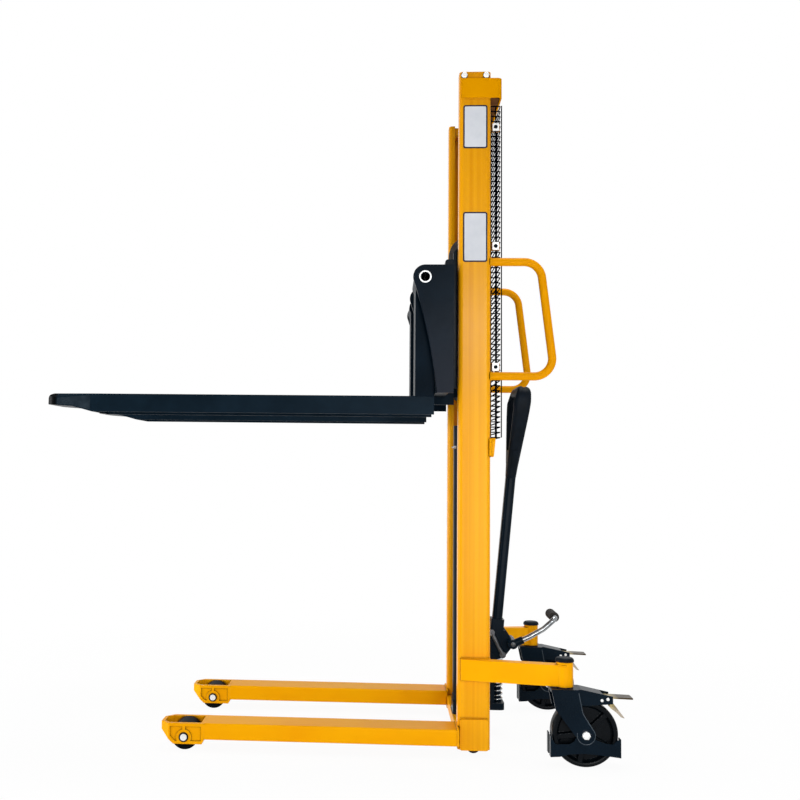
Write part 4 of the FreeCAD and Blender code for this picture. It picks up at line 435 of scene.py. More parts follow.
def add(tree, kind, values=None, **settings):
    """One node with its settings; a value that is a socket is linked, any other value is set."""
    node = tree.nodes.new(kind)
    for key, value in settings.items():
        setattr(node, key, value)
    for key, value in (values or {}).items():
        if isinstance(value, bpy.types.NodeSocket):
            tree.links.new(value, node.inputs[key])
        else:
            node.inputs[key].default_value = value
    return node


def surface(name, low, high, patch, grain, relief, rough, metallic=0.0, ior=1.5, shine=0.5,
            worn=None, edge=0.0, grime_and_shade=None, tints=(), grain_scale=(1, 1, 1),
            patch_scale=(1, 1, 1)):
    """Material of one finish: two close tones in soft patches, fine grain in bump and gloss.

    Sizes are in millimetres. low and high are the darker and the lighter tone, and patch is the
    size of their patches. grain and relief are the spacing and depth of the grain, rough is the
    least and the most roughness, and shine the strength of plain reflections. worn is the colour
    of rubbed edges and edge their width. grime_and_shade is the colour that darkens corners and
    seams: grime that settles there, and painted shade.
    tints come in along an axis, each as (axis, start, end, colour) in the row frame. A pattern's
    scale along an axis is over 1 where it is finer, and under 1 where it is drawn out to lines or
    streaks.
    """
    material = bpy.data.materials.new(name)
    material.use_nodes = True
    tree = material.node_tree
    shader = tree.nodes["Principled BSDF"]
    spot = add(tree, "ShaderNodeTexCoord").outputs["Object"]
    grain_spot = add(tree, "ShaderNodeMapping", {"Vector": spot, "Scale": grain_scale})
    patch_spot = add(tree, "ShaderNodeMapping", {"Vector": spot, "Scale": patch_scale})
    patches = add(tree, "ShaderNodeTexNoise", {"Vector": patch_spot.outputs["Vector"],
                                               "Scale": 1 / (patch * MM), "Detail": 3.0,
                                               "Roughness": 0.55})
    grains = add(tree, "ShaderNodeTexNoise", {"Vector": grain_spot.outputs["Vector"],
                                              "Scale": 1 / (grain * MM), "Detail": 2.0})
    tone = add(tree, "ShaderNodeMapRange", {"Value": patches.outputs["Fac"], **NOISE_RANGE})
    colour = add(tree, "ShaderNodeMix", {"Factor": tone.outputs["Result"], "A": linear(low),
                                         "B": linear(high)}, data_type="RGBA").outputs["Result"]
    gloss = add(tree, "ShaderNodeMapRange", {"Value": grains.outputs["Fac"], **NOISE_RANGE,
                                             "To Min": rough[0], "To Max": rough[1]})
    bump = {"Height": grains.outputs["Fac"], "Distance": relief * MM, "Strength": 1.0}
    if edge:
        round_edge = add(tree, "ShaderNodeBevel", {"Radius": edge * MM}, samples=4)
        bump["Normal"] = round_edge.outputs["Normal"]
        flat = add(tree, "ShaderNodeNewGeometry").outputs["Normal"]
        meet = add(tree, "ShaderNodeVectorMath", {0: round_edge.outputs["Normal"], 1: flat},
                   operation="DOT_PRODUCT")
        rubbed = add(tree, "ShaderNodeMapRange", {"Value": meet.outputs["Value"], **RUBBED_RANGE})
        broken = add(tree, "ShaderNodeMath", {0: rubbed.outputs["Result"],
                                              1: tone.outputs["Result"]}, operation="MULTIPLY")
        colour = add(tree, "ShaderNodeMix", {"Factor": broken.outputs["Value"], "A": colour,
                                             "B": linear(worn)}, data_type="RGBA").outputs["Result"]
    # Corners and seams darkened through ambient occlusion: grime, and painted shade
    if grime_and_shade:
        nook = add(tree, "ShaderNodeAmbientOcclusion", {"Distance": NOOK_REACH * MM}, samples=6)
        share = add(tree, "ShaderNodeMapRange", {"Value": nook.outputs["AO"], **NOOK_RANGE})
        colour = add(tree, "ShaderNodeMix", {"Factor": share.outputs["Result"], "A": colour,
                                             "B": linear(grime_and_shade)}, data_type="RGBA").outputs["Result"]
    for axis, start, end, tint in tints:
        along = add(tree, "ShaderNodeSeparateXYZ", {"Vector": spot}).outputs[axis]
        share = add(tree, "ShaderNodeMapRange", {"Value": along, "From Min": start * MM,
                                                 "From Max": end * MM})
        colour = add(tree, "ShaderNodeMix", {"Factor": share.outputs["Result"], "A": colour,
                                             "B": linear(tint)}, data_type="RGBA").outputs["Result"]
    normal = add(tree, "ShaderNodeBump", bump).outputs["Normal"]
    tree.links.new(colour, shader.inputs["Base Color"])
    tree.links.new(gloss.outputs["Result"], shader.inputs["Roughness"])
    tree.links.new(normal, shader.inputs["Normal"])
    shader.inputs["Metallic"].default_value = metallic
    if not metallic:
        shader.inputs["IOR"].default_value = ior
        shader.inputs["Specular IOR Level"].default_value = shine
    return material


# What finishes of one kind share
# grime_and_shade: brown that darkens seams and corners, grime there and painted shade
YELLOW_COAT = {"grain": 2.5, "relief": 0.02, "grime_and_shade": "#6E3E00"}
BLACK_TONES = ("#04101A", "#0A1925")
BLACK_COAT = {"patch": 120, "grain": 2.2, "relief": 0.02, "worn": "#22303C", "edge": 1.4}
NYLON = {"low": "#03060A", "high": "#080D12", "patch": 22, "grain": 1.2, "relief": 0.03,
         "ior": 1.53, "worn": "#1C252C", "edge": 1.0}
SATIN_VINYL = {"patch": 40, "grain": 1.5, "relief": 0.006, "rough": (0.34, 0.46), "shine": 0.2}

# Polyester powder coat, baked on steel: even colour, faint orange peel about 2.5 mm apart (drawn
# a little coarse so that it shows), a soft gloss, brown grime and painted shade darkening the
# seams and corners, and paler paint where edges are rubbed.
yellow_coat = surface("powder_coat_yellow", "#FAA900", "#FFB400", patch=160, rough=(0.28, 0.40),
                      worn="#FFC640", edge=1.6, shine=0.04, **YELLOW_COAT)
# The same coat on the rolled columns, whose bends have no edge to rub: upright streaks of paler
# tone that are a painted reflection, and darker towards the top, which is painted shade.
column_coat = surface("powder_coat_yellow_rolled", "#F09E00", "#FFB610", patch=160,
                      rough=(0.20, 0.30), shine=0.1, tints=(("Z", 1250, 2600, "#C88200"),),
                      patch_scale=(14, 14, 0.1), **YELLOW_COAT)
# The same coat on the top beam, matt from overspray, in a darker tone that is painted shade at
# the head of the mast.
beam_coat = surface("powder_coat_yellow_matt", "#E09400", "#EA9E00", patch=160, rough=(0.5, 0.6),
                    shine=0.0, **YELLOW_COAT)
# The handles' coat, in a darker tone that is painted shade of their round tubes.
handle_coat = surface("powder_coat_yellow_handles_shaded", "#E69600", "#F0A200", patch=90,
                      rough=(0.30, 0.42), shine=0.03, **YELLOW_COAT)
# Dull brown on a sheet inside the top beam: painted shade of its enclosed inside.
beam_shade_paint = surface("painted_shade_brown", "#6A4526", "#865C38", patch=60, grain=2.0, relief=0.02,
                      rough=(0.6, 0.75), shine=0.0)
# Powder coat in blue-black on carriage, casters and pump, rubbed to grey on its edges.
black_coat = surface("powder_coat_black", *BLACK_TONES, rough=(0.20, 0.32), shine=0.05,
                     **BLACK_COAT)
# The forks' coat, dulled by pallets.
fork_coat = surface("powder_coat_black_forks", *BLACK_TONES, rough=(0.30, 0.42), shine=0.02,
                    **BLACK_COAT)
# The blades' coat, a shade lighter, and darker on the rounded tips.
blade_coat = surface("powder_coat_black_blades", "#0A1822", "#12222E", rough=(0.30, 0.42),
                     shine=0.03, tints=(("X", -795, -803, "#020406"),), **BLACK_COAT)
# The cheeks' coat, paler towards their feet: a painted reflection of the pale floor.
cheek_coat = surface("powder_coat_black_cheeks", *BLACK_TONES, rough=(0.24, 0.36), shine=0.03,
                     tints=(("Z", 1290, 1020, "#20252E"),), **BLACK_COAT)
# The forks' coat scuffed grey on the sides of their noses.
nose_coat = surface("powder_coat_black_scuffed", "#1A252E", "#2B363F", patch=25, grain=2.0,
                    relief=0.02, rough=(0.35, 0.5), shine=0.05)
# Glossy black coat in a paler grey on the pressed rims of the caster yokes: a painted highlight
# along their edges.
rim_highlight_coat = surface("powder_coat_black_rim_highlight", "#2A343D", "#3C4852", patch=20, grain=2.0,
                      relief=0.02, rough=(0.18, 0.3), shine=0.3)
# Vinyl dip on the guard's wire: soft black skin with a slight gloss.
wire_coat = surface("vinyl_dip_wire", "#020409", "#06080E", patch=60, grain=1.5, relief=0.01,
                    rough=(0.35, 0.5), shine=0.0)
# Bright zinc plate on small fittings: pale grey with fine spangle.
zinc_plate = surface("zinc_plate", "#B9BDC0", "#D6D9DB", patch=9, grain=0.8, relief=0.01,
                     rough=(0.24, 0.42), metallic=1.0)
# White zinc flake, barrel finished, on washers, bolts and the ends of axles and shaft: almost white
# and dull.
washer_zinc = surface("barrel_zinc_washer", "#E6E8E8", "#F4F5F5", patch=12, grain=0.8, relief=0.01,
                      rough=(0.35, 0.5), metallic=0.35)
# Yellow chromate on the pressed brake pedals: straw tint over zinc, dark brown towards the end of
# the upper tongue as painted shade, rubbed to the bare zinc on the lower one.
straw_zinc = surface("yellow_chromate_zinc", "#8E7F57", "#B9AC84", patch=14, grain=1.0, relief=0.02,
                     rough=(0.28, 0.45), metallic=1.0,
                     tints=(("X", 772.0, 792.0, "#3B3020"), ("Z", 165.0, 150.0, "#9C9284")))
# Drawn spring wire, bright.
spring_steel = surface("drawn_spring_wire", "#A9ACAE", "#CDD0D1", patch=8, grain=0.7, relief=0.01,
                       rough=(0.2, 0.34), metallic=1.0)
# Oiled steel of chain, rollers, sheave and link: dark with a wet gloss.
oiled_steel = surface("oiled_steel", "#3E4043", "#5B5E61", patch=18, grain=1.2, relief=0.02,
                      rough=(0.28, 0.48), metallic=1.0)
# Ground and hard-chromed rod: mirror with grinding lines round it.
hard_chrome = surface("hard_chrome", "#C4C7CA", "#D9DCDE", patch=30, grain=1.0, relief=0.004,
                      rough=(0.06, 0.14), metallic=1.0, grain_scale=(0.1, 0.1, 1))
# Polished bar of the foot pedal, in a darker grey than bright steel: a painted dark reflection.
polished_bar = surface("polished_bar", "#6C6F72", "#A6A9AB", patch=16, grain=1.0, relief=0.006,
                       rough=(0.12, 0.26), metallic=1.0)
# Cast nylon wheels: black with a waxy gloss and scuffs.
cast_nylon = surface("cast_nylon", rough=(0.20, 0.34), shine=0.07, **NYLON)
# The same nylon dulled by the floor, on the front wheels.
worn_nylon = surface("cast_nylon_worn", rough=(0.45, 0.60), shine=0.03, **NYLON)
# Moulded polypropylene of the handle and caps: fine spark-eroded grain about 1 mm apart (coarse so
# that it shows).
moulded_grip = surface("moulded_polypropylene", "#0A1016", "#111922", patch=50, grain=1.0,
                       relief=0.025, rough=(0.38, 0.52), ior=1.49, shine=0.06)
# Nitrile rubber on the foot pedal: brown-black and dull.
nitrile_rubber = surface("nitrile_rubber", "#120F0D", "#1E1916", patch=14, grain=1.4, relief=0.05,
                         rough=(0.6, 0.8), ior=1.52, shine=0.25)
# Satin vinyl of the blank label plates and their printed edge line.
label_vinyl = surface("satin_vinyl_white", "#D3D7DE", "#DEE1E7", **SATIN_VINYL)
label_edge = surface("satin_vinyl_navy", "#0F1226", "#191D33", **SATIN_VINYL)

FINISH_OF_SLOT = {"yellow_paint": yellow_coat, "black_paint": black_coat, "mesh_wire": wire_coat,
                  "zinc_steel": zinc_plate, "bare_steel": oiled_steel, "chrome_rod": hard_chrome,
                  "black_plastic": cast_nylon, "black_rubber": nitrile_rubber}
FINISH_OF_NODE = {"top_crossbeam": beam_coat, "grab_handles": handle_coat,
                  "mast_column_left": column_coat, "mast_column_right": column_coat,
                  "carriage_stop_blocks": column_coat,
                  "fork_shank_left": fork_coat, "fork_shank_right": fork_coat,
                  "fork_blade_left": blade_coat, "fork_blade_right": blade_coat,
                  "carriage_lower_bar": fork_coat, "carriage_cheeks": cheek_coat,
                  "front_wheel_left": worn_nylon, "front_wheel_right": worn_nylon,
                  "wheel_axles": washer_zinc,
                  "brake_pedal_left": straw_zinc, "brake_pedal_right": straw_zinc,
                  "pedal_arm": polished_bar, "release_link": oiled_steel,
                  "tiller_loop": moulded_grip, "release_trigger": moulded_grip,
                  "socket_caps": moulded_grip, "return_spring": spring_steel}


def finish_nodes():
    """Each CAD node takes the finish of its slot, or its own."""
    for part in frame["record"]["subparts"]:
        finish = FINISH_OF_NODE.get(part["node"], FINISH_OF_SLOT[part["material_slot"]])
        node = frame["nodes"][part["node"]]
        node.data.materials.clear()
        node.data.materials.append(finish)


def beam_shade_sheet():
    """Painted shade inside the top beam: a thin skin along its bent inner face, a flange below."""
    plan = np.array(BEAM_PLAN)
    skin = plan * (1.0, BEAM_SKIN_WIDTH) - (BEAM_SKIN, 0.0)
    corners = ((plan, BEAM_LOW), (skin, BEAM_LOW), (skin, BEAM_HIGH), (plan, BEAM_HIGH))
    lining = np.stack([np.insert(line, 2, z, axis=1) for line, z in corners], axis=1)
    edge = skin * (1.0, BEAM_FLANGE_WIDTH) - (BEAM_FLANGE_GAP, 0.0)
    flange = np.stack([np.insert(edge, 2, BEAM_LOW + up, axis=1) for up in BEAM_FLANGE])
    piece("beam_shade_sheet", [closed_ends(lining), closed_ends(flange)], beam_shade_paint, "chassis")


def mesh_guard():
    """Welded wire tray: upright wires outside, and cross wires bent round the two rear corners."""
    r = GUARD_WIRE_R
    front, back, out = GUARD_FRONT + r, GUARD_BACK - r, GUARD_OUT - r
    low, high = GUARD_LOW + r, GUARD_HIGH - r
    half_feet = ((back, out), (back, GUARD_UPRIGHT), (CLAMP_X, out), (front, out))
    feet = np.array([(x, side * y) for side in SIDES for x, y in half_feet])
    upright = np.stack(np.broadcast_arrays(feet[:, :1], feet[:, 1:], np.array([low, high])), -1)
    cross_back, cross_out = back - 2 * r * GUARD_WELD, out - 2 * r * GUARD_WELD
    turn = np.linspace(0, math.pi / 2, 5)
    bend = np.stack([cross_back - GUARD_BEND + GUARD_BEND * np.sin(turn),
                     -cross_out + GUARD_BEND - GUARD_BEND * np.cos(turn)], -1)
    half = np.concatenate([[(front, -cross_out)], bend])
    plan = np.concatenate([half, half[::-1] * (1, -1)])
    levels = np.linspace(low, high, GUARD_ROWS + 1)
    cross = np.stack(np.broadcast_arrays(plan[:, 0], plan[:, 1], levels[:, None]), -1)
    piece("guard_wires", [tube(upright, r, 6, LENGTHWISE), tube(cross, r, 6, UPWARDS)],
          wire_coat, "chassis", stands_for=("guard_panel", "guard_returns"))


def guard_clamps():
    """Square washers with a raised screw through each, three on either side of the guard."""
    head = [(0, 0), (5.6, 0), (5.6, 2.2), (4.6, 3.6), (2.0, 4.4), (0, 4.5)]
    seats, screws = [], []
    for side in SIDES:
        low, high = side * GUARD_OUT, side * (GUARD_OUT + CLAMP_T)
        for z in CLAMP_Z:
            seats.append(side_plate((CLAMP_X, z), CLAMP_W, CLAMP_H, CLAMP_CORNER, low, high,
                                      CLAMP_EDGE))
            screws.append(turned(head, (CLAMP_X, high, z), 20, side))
    piece("guard_washers", seats, washer_zinc, "chassis",
          stands_for=("guard_clamps",))
    piece("guard_screws", screws, black_coat, "chassis")


def chain_links(place_of, length):
    """Leaf chain: waisted plates, alternating side by side and between, on pins one pitch apart."""
    cos, sin = np.cos(circle(12)), np.sin(circle(12))
    waist = CHAIN_WAIST + (1 - CHAIN_WAIST) * np.abs(cos) ** 0.5
    ends = cos * CHAIN_PLATE_R + np.sign(cos) * CHAIN_PITCH / 2
    outline = np.stack([ends, sin * CHAIN_PLATE_R * waist], -1)
    plates, pins = [], []
    for link in range(int(length / CHAIN_PITCH)):
        middle, along, out = place_of((link + 0.5) * CHAIN_PITCH)
        flat = middle + outline[:, :1] * along + outline[:, 1:] * out
        for y in CHAIN_LACING[link % 2]:
            faces = (y - CHAIN_PLATE_T / 2, y + CHAIN_PLATE_T / 2)
            plates.append(closed_ends(np.stack([flat + (0, face, 0) for face in faces])))
        joint = place_of(link * CHAIN_PITCH)[0]
        pin = np.stack([joint - (0, CHAIN_HALF_W, 0), joint + (0, CHAIN_HALF_W, 0)])
        pins.append(tube(pin, CHAIN_PIN_R, 8, LENGTHWISE))
    return [np.stack(plates), np.stack(pins)]


def lift_chain():
    """Chain from the carriage up its front run, over the sheave, and down to the crossbar.

    Each run has a function of the distance along it: the chain's middle, its way on, and its face.
    """
    def on_front(s):
        """Up from the carriage."""
        return (np.array([CHAIN_X - CHAIN_R, 0, CHAIN_FRONT_END + s]), np.array([0, 0, 1.0]),
                np.array([1.0, 0, 0]))

    def on_sheave(s):
        """Round the sheave from its front to its rear."""
        turn = s / CHAIN_R
        out = np.array([-math.cos(turn), 0, math.sin(turn)])
        return (np.array([CHAIN_X, 0, CHAIN_TOP]) + CHAIN_R * out,
                np.array([math.sin(turn), 0, math.cos(turn)]), out)

    def on_rear(s):
        """Down from the sheave."""
        return (np.array([CHAIN_X + CHAIN_R, 0, CHAIN_TOP - s]), np.array([0, 0, -1.0]),
                np.array([1.0, 0, 0]))

    made = piece("lift_chain_links_front", chain_links(on_front, CHAIN_TOP - CHAIN_FRONT_END),
                 oiled_steel, None, stands_for=("lift_chain_front",))
    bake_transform(made)
    piece("lift_chain_links_top", chain_links(on_sheave, math.pi * CHAIN_R), oiled_steel,
          "crosshead", stands_for=("lift_chain_rear",))
    made = piece("lift_chain_links_rear", chain_links(on_rear, CHAIN_TOP - CHAIN_REAR_END),
                 oiled_steel, None)
    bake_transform(made)


def return_spring():
    """Compression spring: a helix with closed end turns."""
    r = SPRING_WIRE_R
    turns = SPRING_TURNS + 2 * SPRING_DEAD_TURNS
    t = np.linspace(0, turns, int(turns * SPRING_STEPS))
    low, high = SPRING_LOW + r, SPRING_HIGH - r
    dead = SPRING_DEAD_RISE * r
    knots = (0, SPRING_DEAD_TURNS, turns - SPRING_DEAD_TURNS, turns)
    z = np.interp(t, knots, (low, low + dead, high - dead, high))
    path = np.stack([SPRING_X + SPRING_R * np.cos(2 * math.pi * t),
                     SPRING_R * np.sin(2 * math.pi * t), z], -1)
    made = piece("spring_coils", [tube(path, r, 10, UPWARDS)], spring_steel, "chassis",
                 stands_for=("return_spring",))
    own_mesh(made)


def caster_wheel(side):
    """Cast wheel: a rim with rounded treads, a hub, and a web that rises to a rib at each spoke.

    The side face is a height over radius and angle: deep in the web, almost level with the rim on a
    spoke, with soft steps between.
    """
    name = SIDE_NAMES[side]
    angle = circle(240)
    radius = np.concatenate([[10.1, 12, 20.0, 21.5, 23.5], np.linspace(28, 70, 18),
                             [73.5, 75.5, 77.0]])
    half_gap = math.pi / SPOKES
    nearest = (angle + half_gap) % (2 * half_gap) - half_gap
    apart = np.abs(radius[:, None] * np.sin(nearest))
    rib = np.clip((SPOKE_HALF - apart) / SPOKE_SLOPE, 0, 1)
    rib = rib * rib * (3 - 2 * rib)
    rim = np.interp(radius, (72.5, 76.5), (0, 1))[:, None]
    hub = np.interp(radius, (21.5, 24.5), (1, 0))[:, None]
    raised = np.maximum(np.maximum(rib * SPOKE_RISE, rim), hub)
    face = CASTER_WEB + (CASTER_FACE - CASTER_WEB) * raised
    tread_r = np.array([78.5, 81.0, 85.5, 88.6, 89.7, 90.0])
    tread_y = np.array([24.2, 25.0, 24.6, 22.0, 17.5, 12.0])
    rows_r = np.concatenate([radius, tread_r])[:, None]
    rows_y = np.concatenate([face, np.repeat(tread_y[:, None], len(angle), 1)])
    x = CASTER_X + rows_r * np.cos(angle + SPOKE_TURN)
    z = CASTER_Z + rows_r * np.sin(angle + SPOKE_TURN)
    near, far = (np.stack([x, side * CASTER_Y + out * rows_y, z], -1) for out in SIDES)
    piece("cast_wheel_" + name, [np.concatenate([near, far[::-1]])], cast_nylon,
          "caster_wheel_" + name, sharp=30,
          stands_for=("caster_wheel_" + name,), hollow=True)


def caster_fittings(side):
    """Axle bolts, each in a dark ring that is painted shadow, pressed rims of the yoke's sides in
    a paler coat that is painted highlight, and rivets of the brake housing.
    """
    name = SIDE_NAMES[side]
    # Profile of the dark ring round each axle bolt, which is painted shadow
    seat_ring = [(9.0, -0.5), (16.0, -0.5), (16.4, 0.9), (15.6, 1.3), (9.0, 1.3)]
    dome = [(0, 0), (4.6, 0), (4.4, 1.0), (3.4, 2.2), (1.8, 3.0), (0, 3.2)]
    turn = np.linspace(math.radians(16), math.radians(-200), 28)
    round_axle = np.stack([CASTER_X + YOKE_RIM_R * np.cos(turn),
                           CASTER_Z + YOKE_RIM_R * np.sin(turn)], -1)
    line = np.concatenate([YOKE_EDGE, round_axle])
    bolts, seats, rims, rivets = [], [], [], []
    for out in SIDES:
        face = side * CASTER_Y + out * YOKE_OUT
        bolts.append(hex_bolt((CASTER_X, face, CASTER_Z), 19.0, 6.2, 10.6, out))
        seats.append(turned(seat_ring, (CASTER_X, face, CASTER_Z), 32, out))
        rims.append(tube(smooth_run(stood(line, face), 2.0, 14.0), 1.3, 8, CROSSWISE))
        housing = side * CASTER_Y + out * BRAKE_OUT
        rivets += [turned(dome, (x, housing, z), 16, out) for x, z in BRAKE_RIVETS]
    piece("caster_bolts_" + name, bolts, washer_zinc, "caster_" + name)
    # Dark rings round the axle bolts: painted shadow
    piece("caster_shadow_rings_" + name, seats, black_coat, "caster_" + name,
          hollow=True)
    # The rims' paler grey coat is a painted highlight
    piece("yoke_rims_" + name, rims, rim_highlight_coat, "caster_" + name)
    piece("brake_rivets_" + name, rivets, washer_zinc, "caster_" + name)


def brake_flanges(side):
    """Pressed flanges under the edges of the brake pedal's lower tongue: depth over length."""
    name = SIDE_NAMES[side]
    length = np.array([12.0, 18.0, 24.0, 30.0, 38.0, 48.0, 60.0, 64.0])[:, None]
    depth = np.array([1.0, 7.0, 9.0, 7.6, 5.6, 4.0, 3.2, 1.0])[:, None]
    edge = length * BRAKE_ALONG + BRAKE_PIVOT
    line = np.concatenate([edge, (edge + depth * BRAKE_UNDER)[::-1]])
    flanges = [prism(line, [side * CASTER_Y + out * y for y in BRAKE_FLANGE]) for out in SIDES]
    piece("brake_flanges_" + name, flanges, straw_zinc, "brake_pedal_" + name)


def pedal_sleeve():
    """Rubber sleeve of the foot pedal: turned, with shallow grooves and a closed far end."""
    along = np.linspace(SLEEVE_START, SLEEVE_END, 85)
    wave = np.cos(2 * math.pi * (along - SLEEVE_START) / SLEEVE_GROOVE_PITCH)
    groove = SLEEVE_GROOVE * (0.5 + 0.5 * wave) ** 4
    ease = SLEEVE_EDGE * (np.exp((SLEEVE_START - along) / SLEEVE_EDGE_RUN)
                          + np.exp((along - SLEEVE_END) / SLEEVE_EDGE_RUN))
    mouth = [(SLEEVE_BORE_R, SLEEVE_START)]
    outside = mouth + list(zip(SLEEVE_R - groove - ease, along)) + [(0.0, SLEEVE_END)]
    bore = mouth + [(SLEEVE_BORE_R, SLEEVE_BORE_END), (0.0, SLEEVE_BORE_END)]
    piece("pedal_sleeve", [turned(profile, SLEEVE_CENTRE, 40) for profile in (outside, bore)],
          nitrile_rubber, "tiller", stands_for=("pedal_pad",))


def tiller_loop():
    """Moulded handle: an oblong section with a groove down its outer side carried round the loop.

    The section is deeper at the shoulders than at the neck and the top bar, and there is a solid
    neck under it.
    """
    path = smooth_run(LOOP_PATH, 3.0, LOOP_BEND)
    along = unit(np.gradient(path, axis=0))
    normal = np.stack([-along[:, 1], along[:, 0]], -1)
    z = path[:, 1]
    front = np.interp(z, (496, 735, 752, 786), (-15.0, -22.0, -18.0, -9.5))
    back = np.interp(z, (496, 735, 760, 786), (15.0, 29.5, 28.0, 18.5))
    half_w = np.interp(z, (540, 706, 750, 770), (14.5, 13.5, 15.0, 16.5))
    cos, sin = np.cos(circle(40)), np.sin(circle(40))
    across = np.sign(cos) * np.abs(cos) ** (2.0 / LOOP_POWER)
    deep = np.sign(sin) * np.abs(sin) ** (2.0 / LOOP_POWER)
    groove = np.where(cos > 0, LOOP_GROOVE * np.exp(-(deep / LOOP_GROOVE_WIDTH) ** 2), 0.0)
    width = half_w[:, None] * across - groove
    depth = ((front + back) / 2)[:, None] + ((back - front) / 2)[:, None] * deep
    y = path[:, :1] + normal[:, :1] * width
    up = path[:, 1:] + normal[:, 1:] * width
    loop = closed_ends(np.stack([depth, y, up], -1))
    levels = np.linspace(NECK_LOW, NECK_HIGH, 16)[:, None]
    knots = (NECK_LOW, NECK_LOW + 3.0, NECK_HIGH)
    half_y = np.interp(levels, knots, (20.0, 23.6, 50.0))
    half_x = np.interp(levels, knots, (13.5, 15.3, 19.5))
    neck = np.stack(np.broadcast_arrays(half_x * deep + NECK_LEAN * (levels - NECK_LOW),
                                        half_y * across, levels), -1)
    piece("tiller_grip", [leaned(loop), leaned(closed_ends(neck))], moulded_grip, "tiller",
          sharp=50, stands_for=("tiller_loop",))


def label_plates():
    """Blank plates on the near column, where such machines carry printed ones: line and face."""
    edges, faces = [], []
    for z, height in LABELS:
        edges.append(side_plate((LABEL_X, z), LABEL_W, height, 7.0,
                                -MAST_OUT + 0.5, -MAST_OUT - 0.5, 0.3))
        faces.append(side_plate((LABEL_X, z), LABEL_W - 2 * LABEL_LINE, height - 2 * LABEL_LINE,
                                3.5, -MAST_OUT - 0.2, -MAST_OUT - 0.8, 0.2))
    piece("label_edge_lines", edges, label_edge, "chassis")
    piece("label_faces", faces, label_vinyl, "chassis")


def weld_beads():
    """Fillet beads where plates and tubes meet: a piece on the frame, and one on the carriage."""
    frame_beads, carriage_beads = [], []
    part_turn = np.linspace(0.5 * math.pi, 1.1 * math.pi, 9)
    turn = np.linspace(0, 2 * math.pi, 25)
    for side in SIDES:
        mirror = (1, side, 1)
        for points, radius, up in FRAME_WELDS:
            frame_beads.append(bead(np.multiply(points, mirror), radius, up))
        socket = np.stack([SOCKET_X + SOCKET_R * np.cos(part_turn),
                           side * (CASTER_Y + SOCKET_R * np.sin(part_turn)),
                           np.full_like(part_turn, ARM_TOP)], -1)
        frame_beads.append(bead(socket, SOCKET_WELD_R, UPWARDS))
        for z in HANDLE_Z:
            handle = np.stack([np.full_like(turn, HANDLE_WELD_X),
                               side * HANDLE_Y + HANDLE_R * np.cos(turn),
                               z + HANDLE_R * np.sin(turn)], -1)
            frame_beads.append(bead(handle, HANDLE_WELD_R, LENGTHWISE))
        for points, radius, up in CARRIAGE_WELDS:
            carriage_beads.append(bead(np.multiply(points, mirror), radius, up))
    piece("frame_welds", frame_beads, yellow_coat, "chassis")
    piece("carriage_welds", carriage_beads, black_coat, "carriage")


def stop_bolts():
    """Hexagon bolts of the stop blocks at the head of the mast, each in a dark ring that is painted
    shadow.
    """
    # Profile of the dark ring round each bolt, which is painted shadow
    seat_ring = [(8.6, -0.5), (10.2, -0.5), (10.2, 0.9), (8.6, 0.9)]
    centres = [(x, side * MAST_OUT, STOP_BOLT_Z) for side in SIDES for x in STOP_BOLT_X]
    bolts = [hex_bolt(centre, 16.0, 5.0, 8.4, np.sign(centre[1])) for centre in centres]
    rings = [turned(seat_ring, centre, 32, np.sign(centre[1])) for centre in centres]
    piece("mast_head_bolts", bolts, washer_zinc, "chassis",
          stands_for=("stop_block_bolts",))
    # Dark rings round the bolts: painted shadow
    piece("mast_head_shadow_rings", rings, black_coat, "chassis", hollow=True)


def axle_rings():
    """Dark rings round the ends of the front axles: painted shadow."""
    profile = [(9.6, -0.5), (13.4, -0.5), (13.6, 1.2), (13.0, 2.0), (10.0, 2.0), (9.6, 1.5)]
    rings = [turned(profile, (FRONT_AXLE_X, side * LEG_Y + out * LEG_HALF, FRONT_AXLE_Z), 32, out)
             for side in SIDES for out in SIDES]
    piece("axle_shadow_rings", rings, black_coat, "chassis", hollow=True)


def fork_shaft():
    """Tube that the forks hang on: turned wall, and a bright sawn ring at each end."""
    centre = (SHAFT_X, 0.0, SHAFT_Z)
    wall = [(13.0, -374.4), (13.0, 374.4), (19.0, 374.4), (19.0, -374.4)]
    ring = [(13.2, 374.0), (17.6, 374.0), (17.6, 374.7), (17.2, 375.0), (13.6, 375.0),
            (13.2, 374.7)]
    piece("fork_shaft_tube", [turned(wall, centre, 48)], black_coat, "carriage",
          stands_for=("fork_shaft",), hollow=True)
    piece("fork_shaft_ends", [turned(ring, centre, 48, side) for side in SIDES], washer_zinc,
          "carriage", hollow=True)


def nose_panels(side):
    """Rubbed panel on the outer side of a fork's nose, 0.3 mm proud."""
    panel = prism(NOSE_PANEL, (side * (FORK_OUT - 0.5), side * (FORK_OUT + 0.3)))
    piece("nose_panel_" + SIDE_NAMES[side], [panel], nose_coat, "fork_" + SIDE_NAMES[side])


def bleed_screw():
    """Bleed screw low on the front of the barrel, beside the chain's path, pointing forwards."""
    profile = [(0, 0), (5.0, 0), (5.0, -5.0), (2.6, -5.6), (2.6, -12.0), (1.8, -13.0), (0, -13.0)]
    grid = turned(profile, (0.0, 0.0, 0.0), 18)[..., [1, 0, 2]] + BLEED_SCREW
    piece("bleed_screw", [grid], zinc_plate, "chassis")


def pedal_hub_bolt():
    """Sleeve that clamps the pedal's rod, and its bolt on the outer end of the hub."""
    piece("pedal_clamp", [tube(PEDAL_ROD, PEDAL_CLAMP_R, 24, CROSSWISE)], black_coat, "tiller")
    piece("pedal_hub_bolt", [hex_bolt(PEDAL_BOLT, 11.0, 3.2, 7.0, -1)], oiled_steel, "tiller")


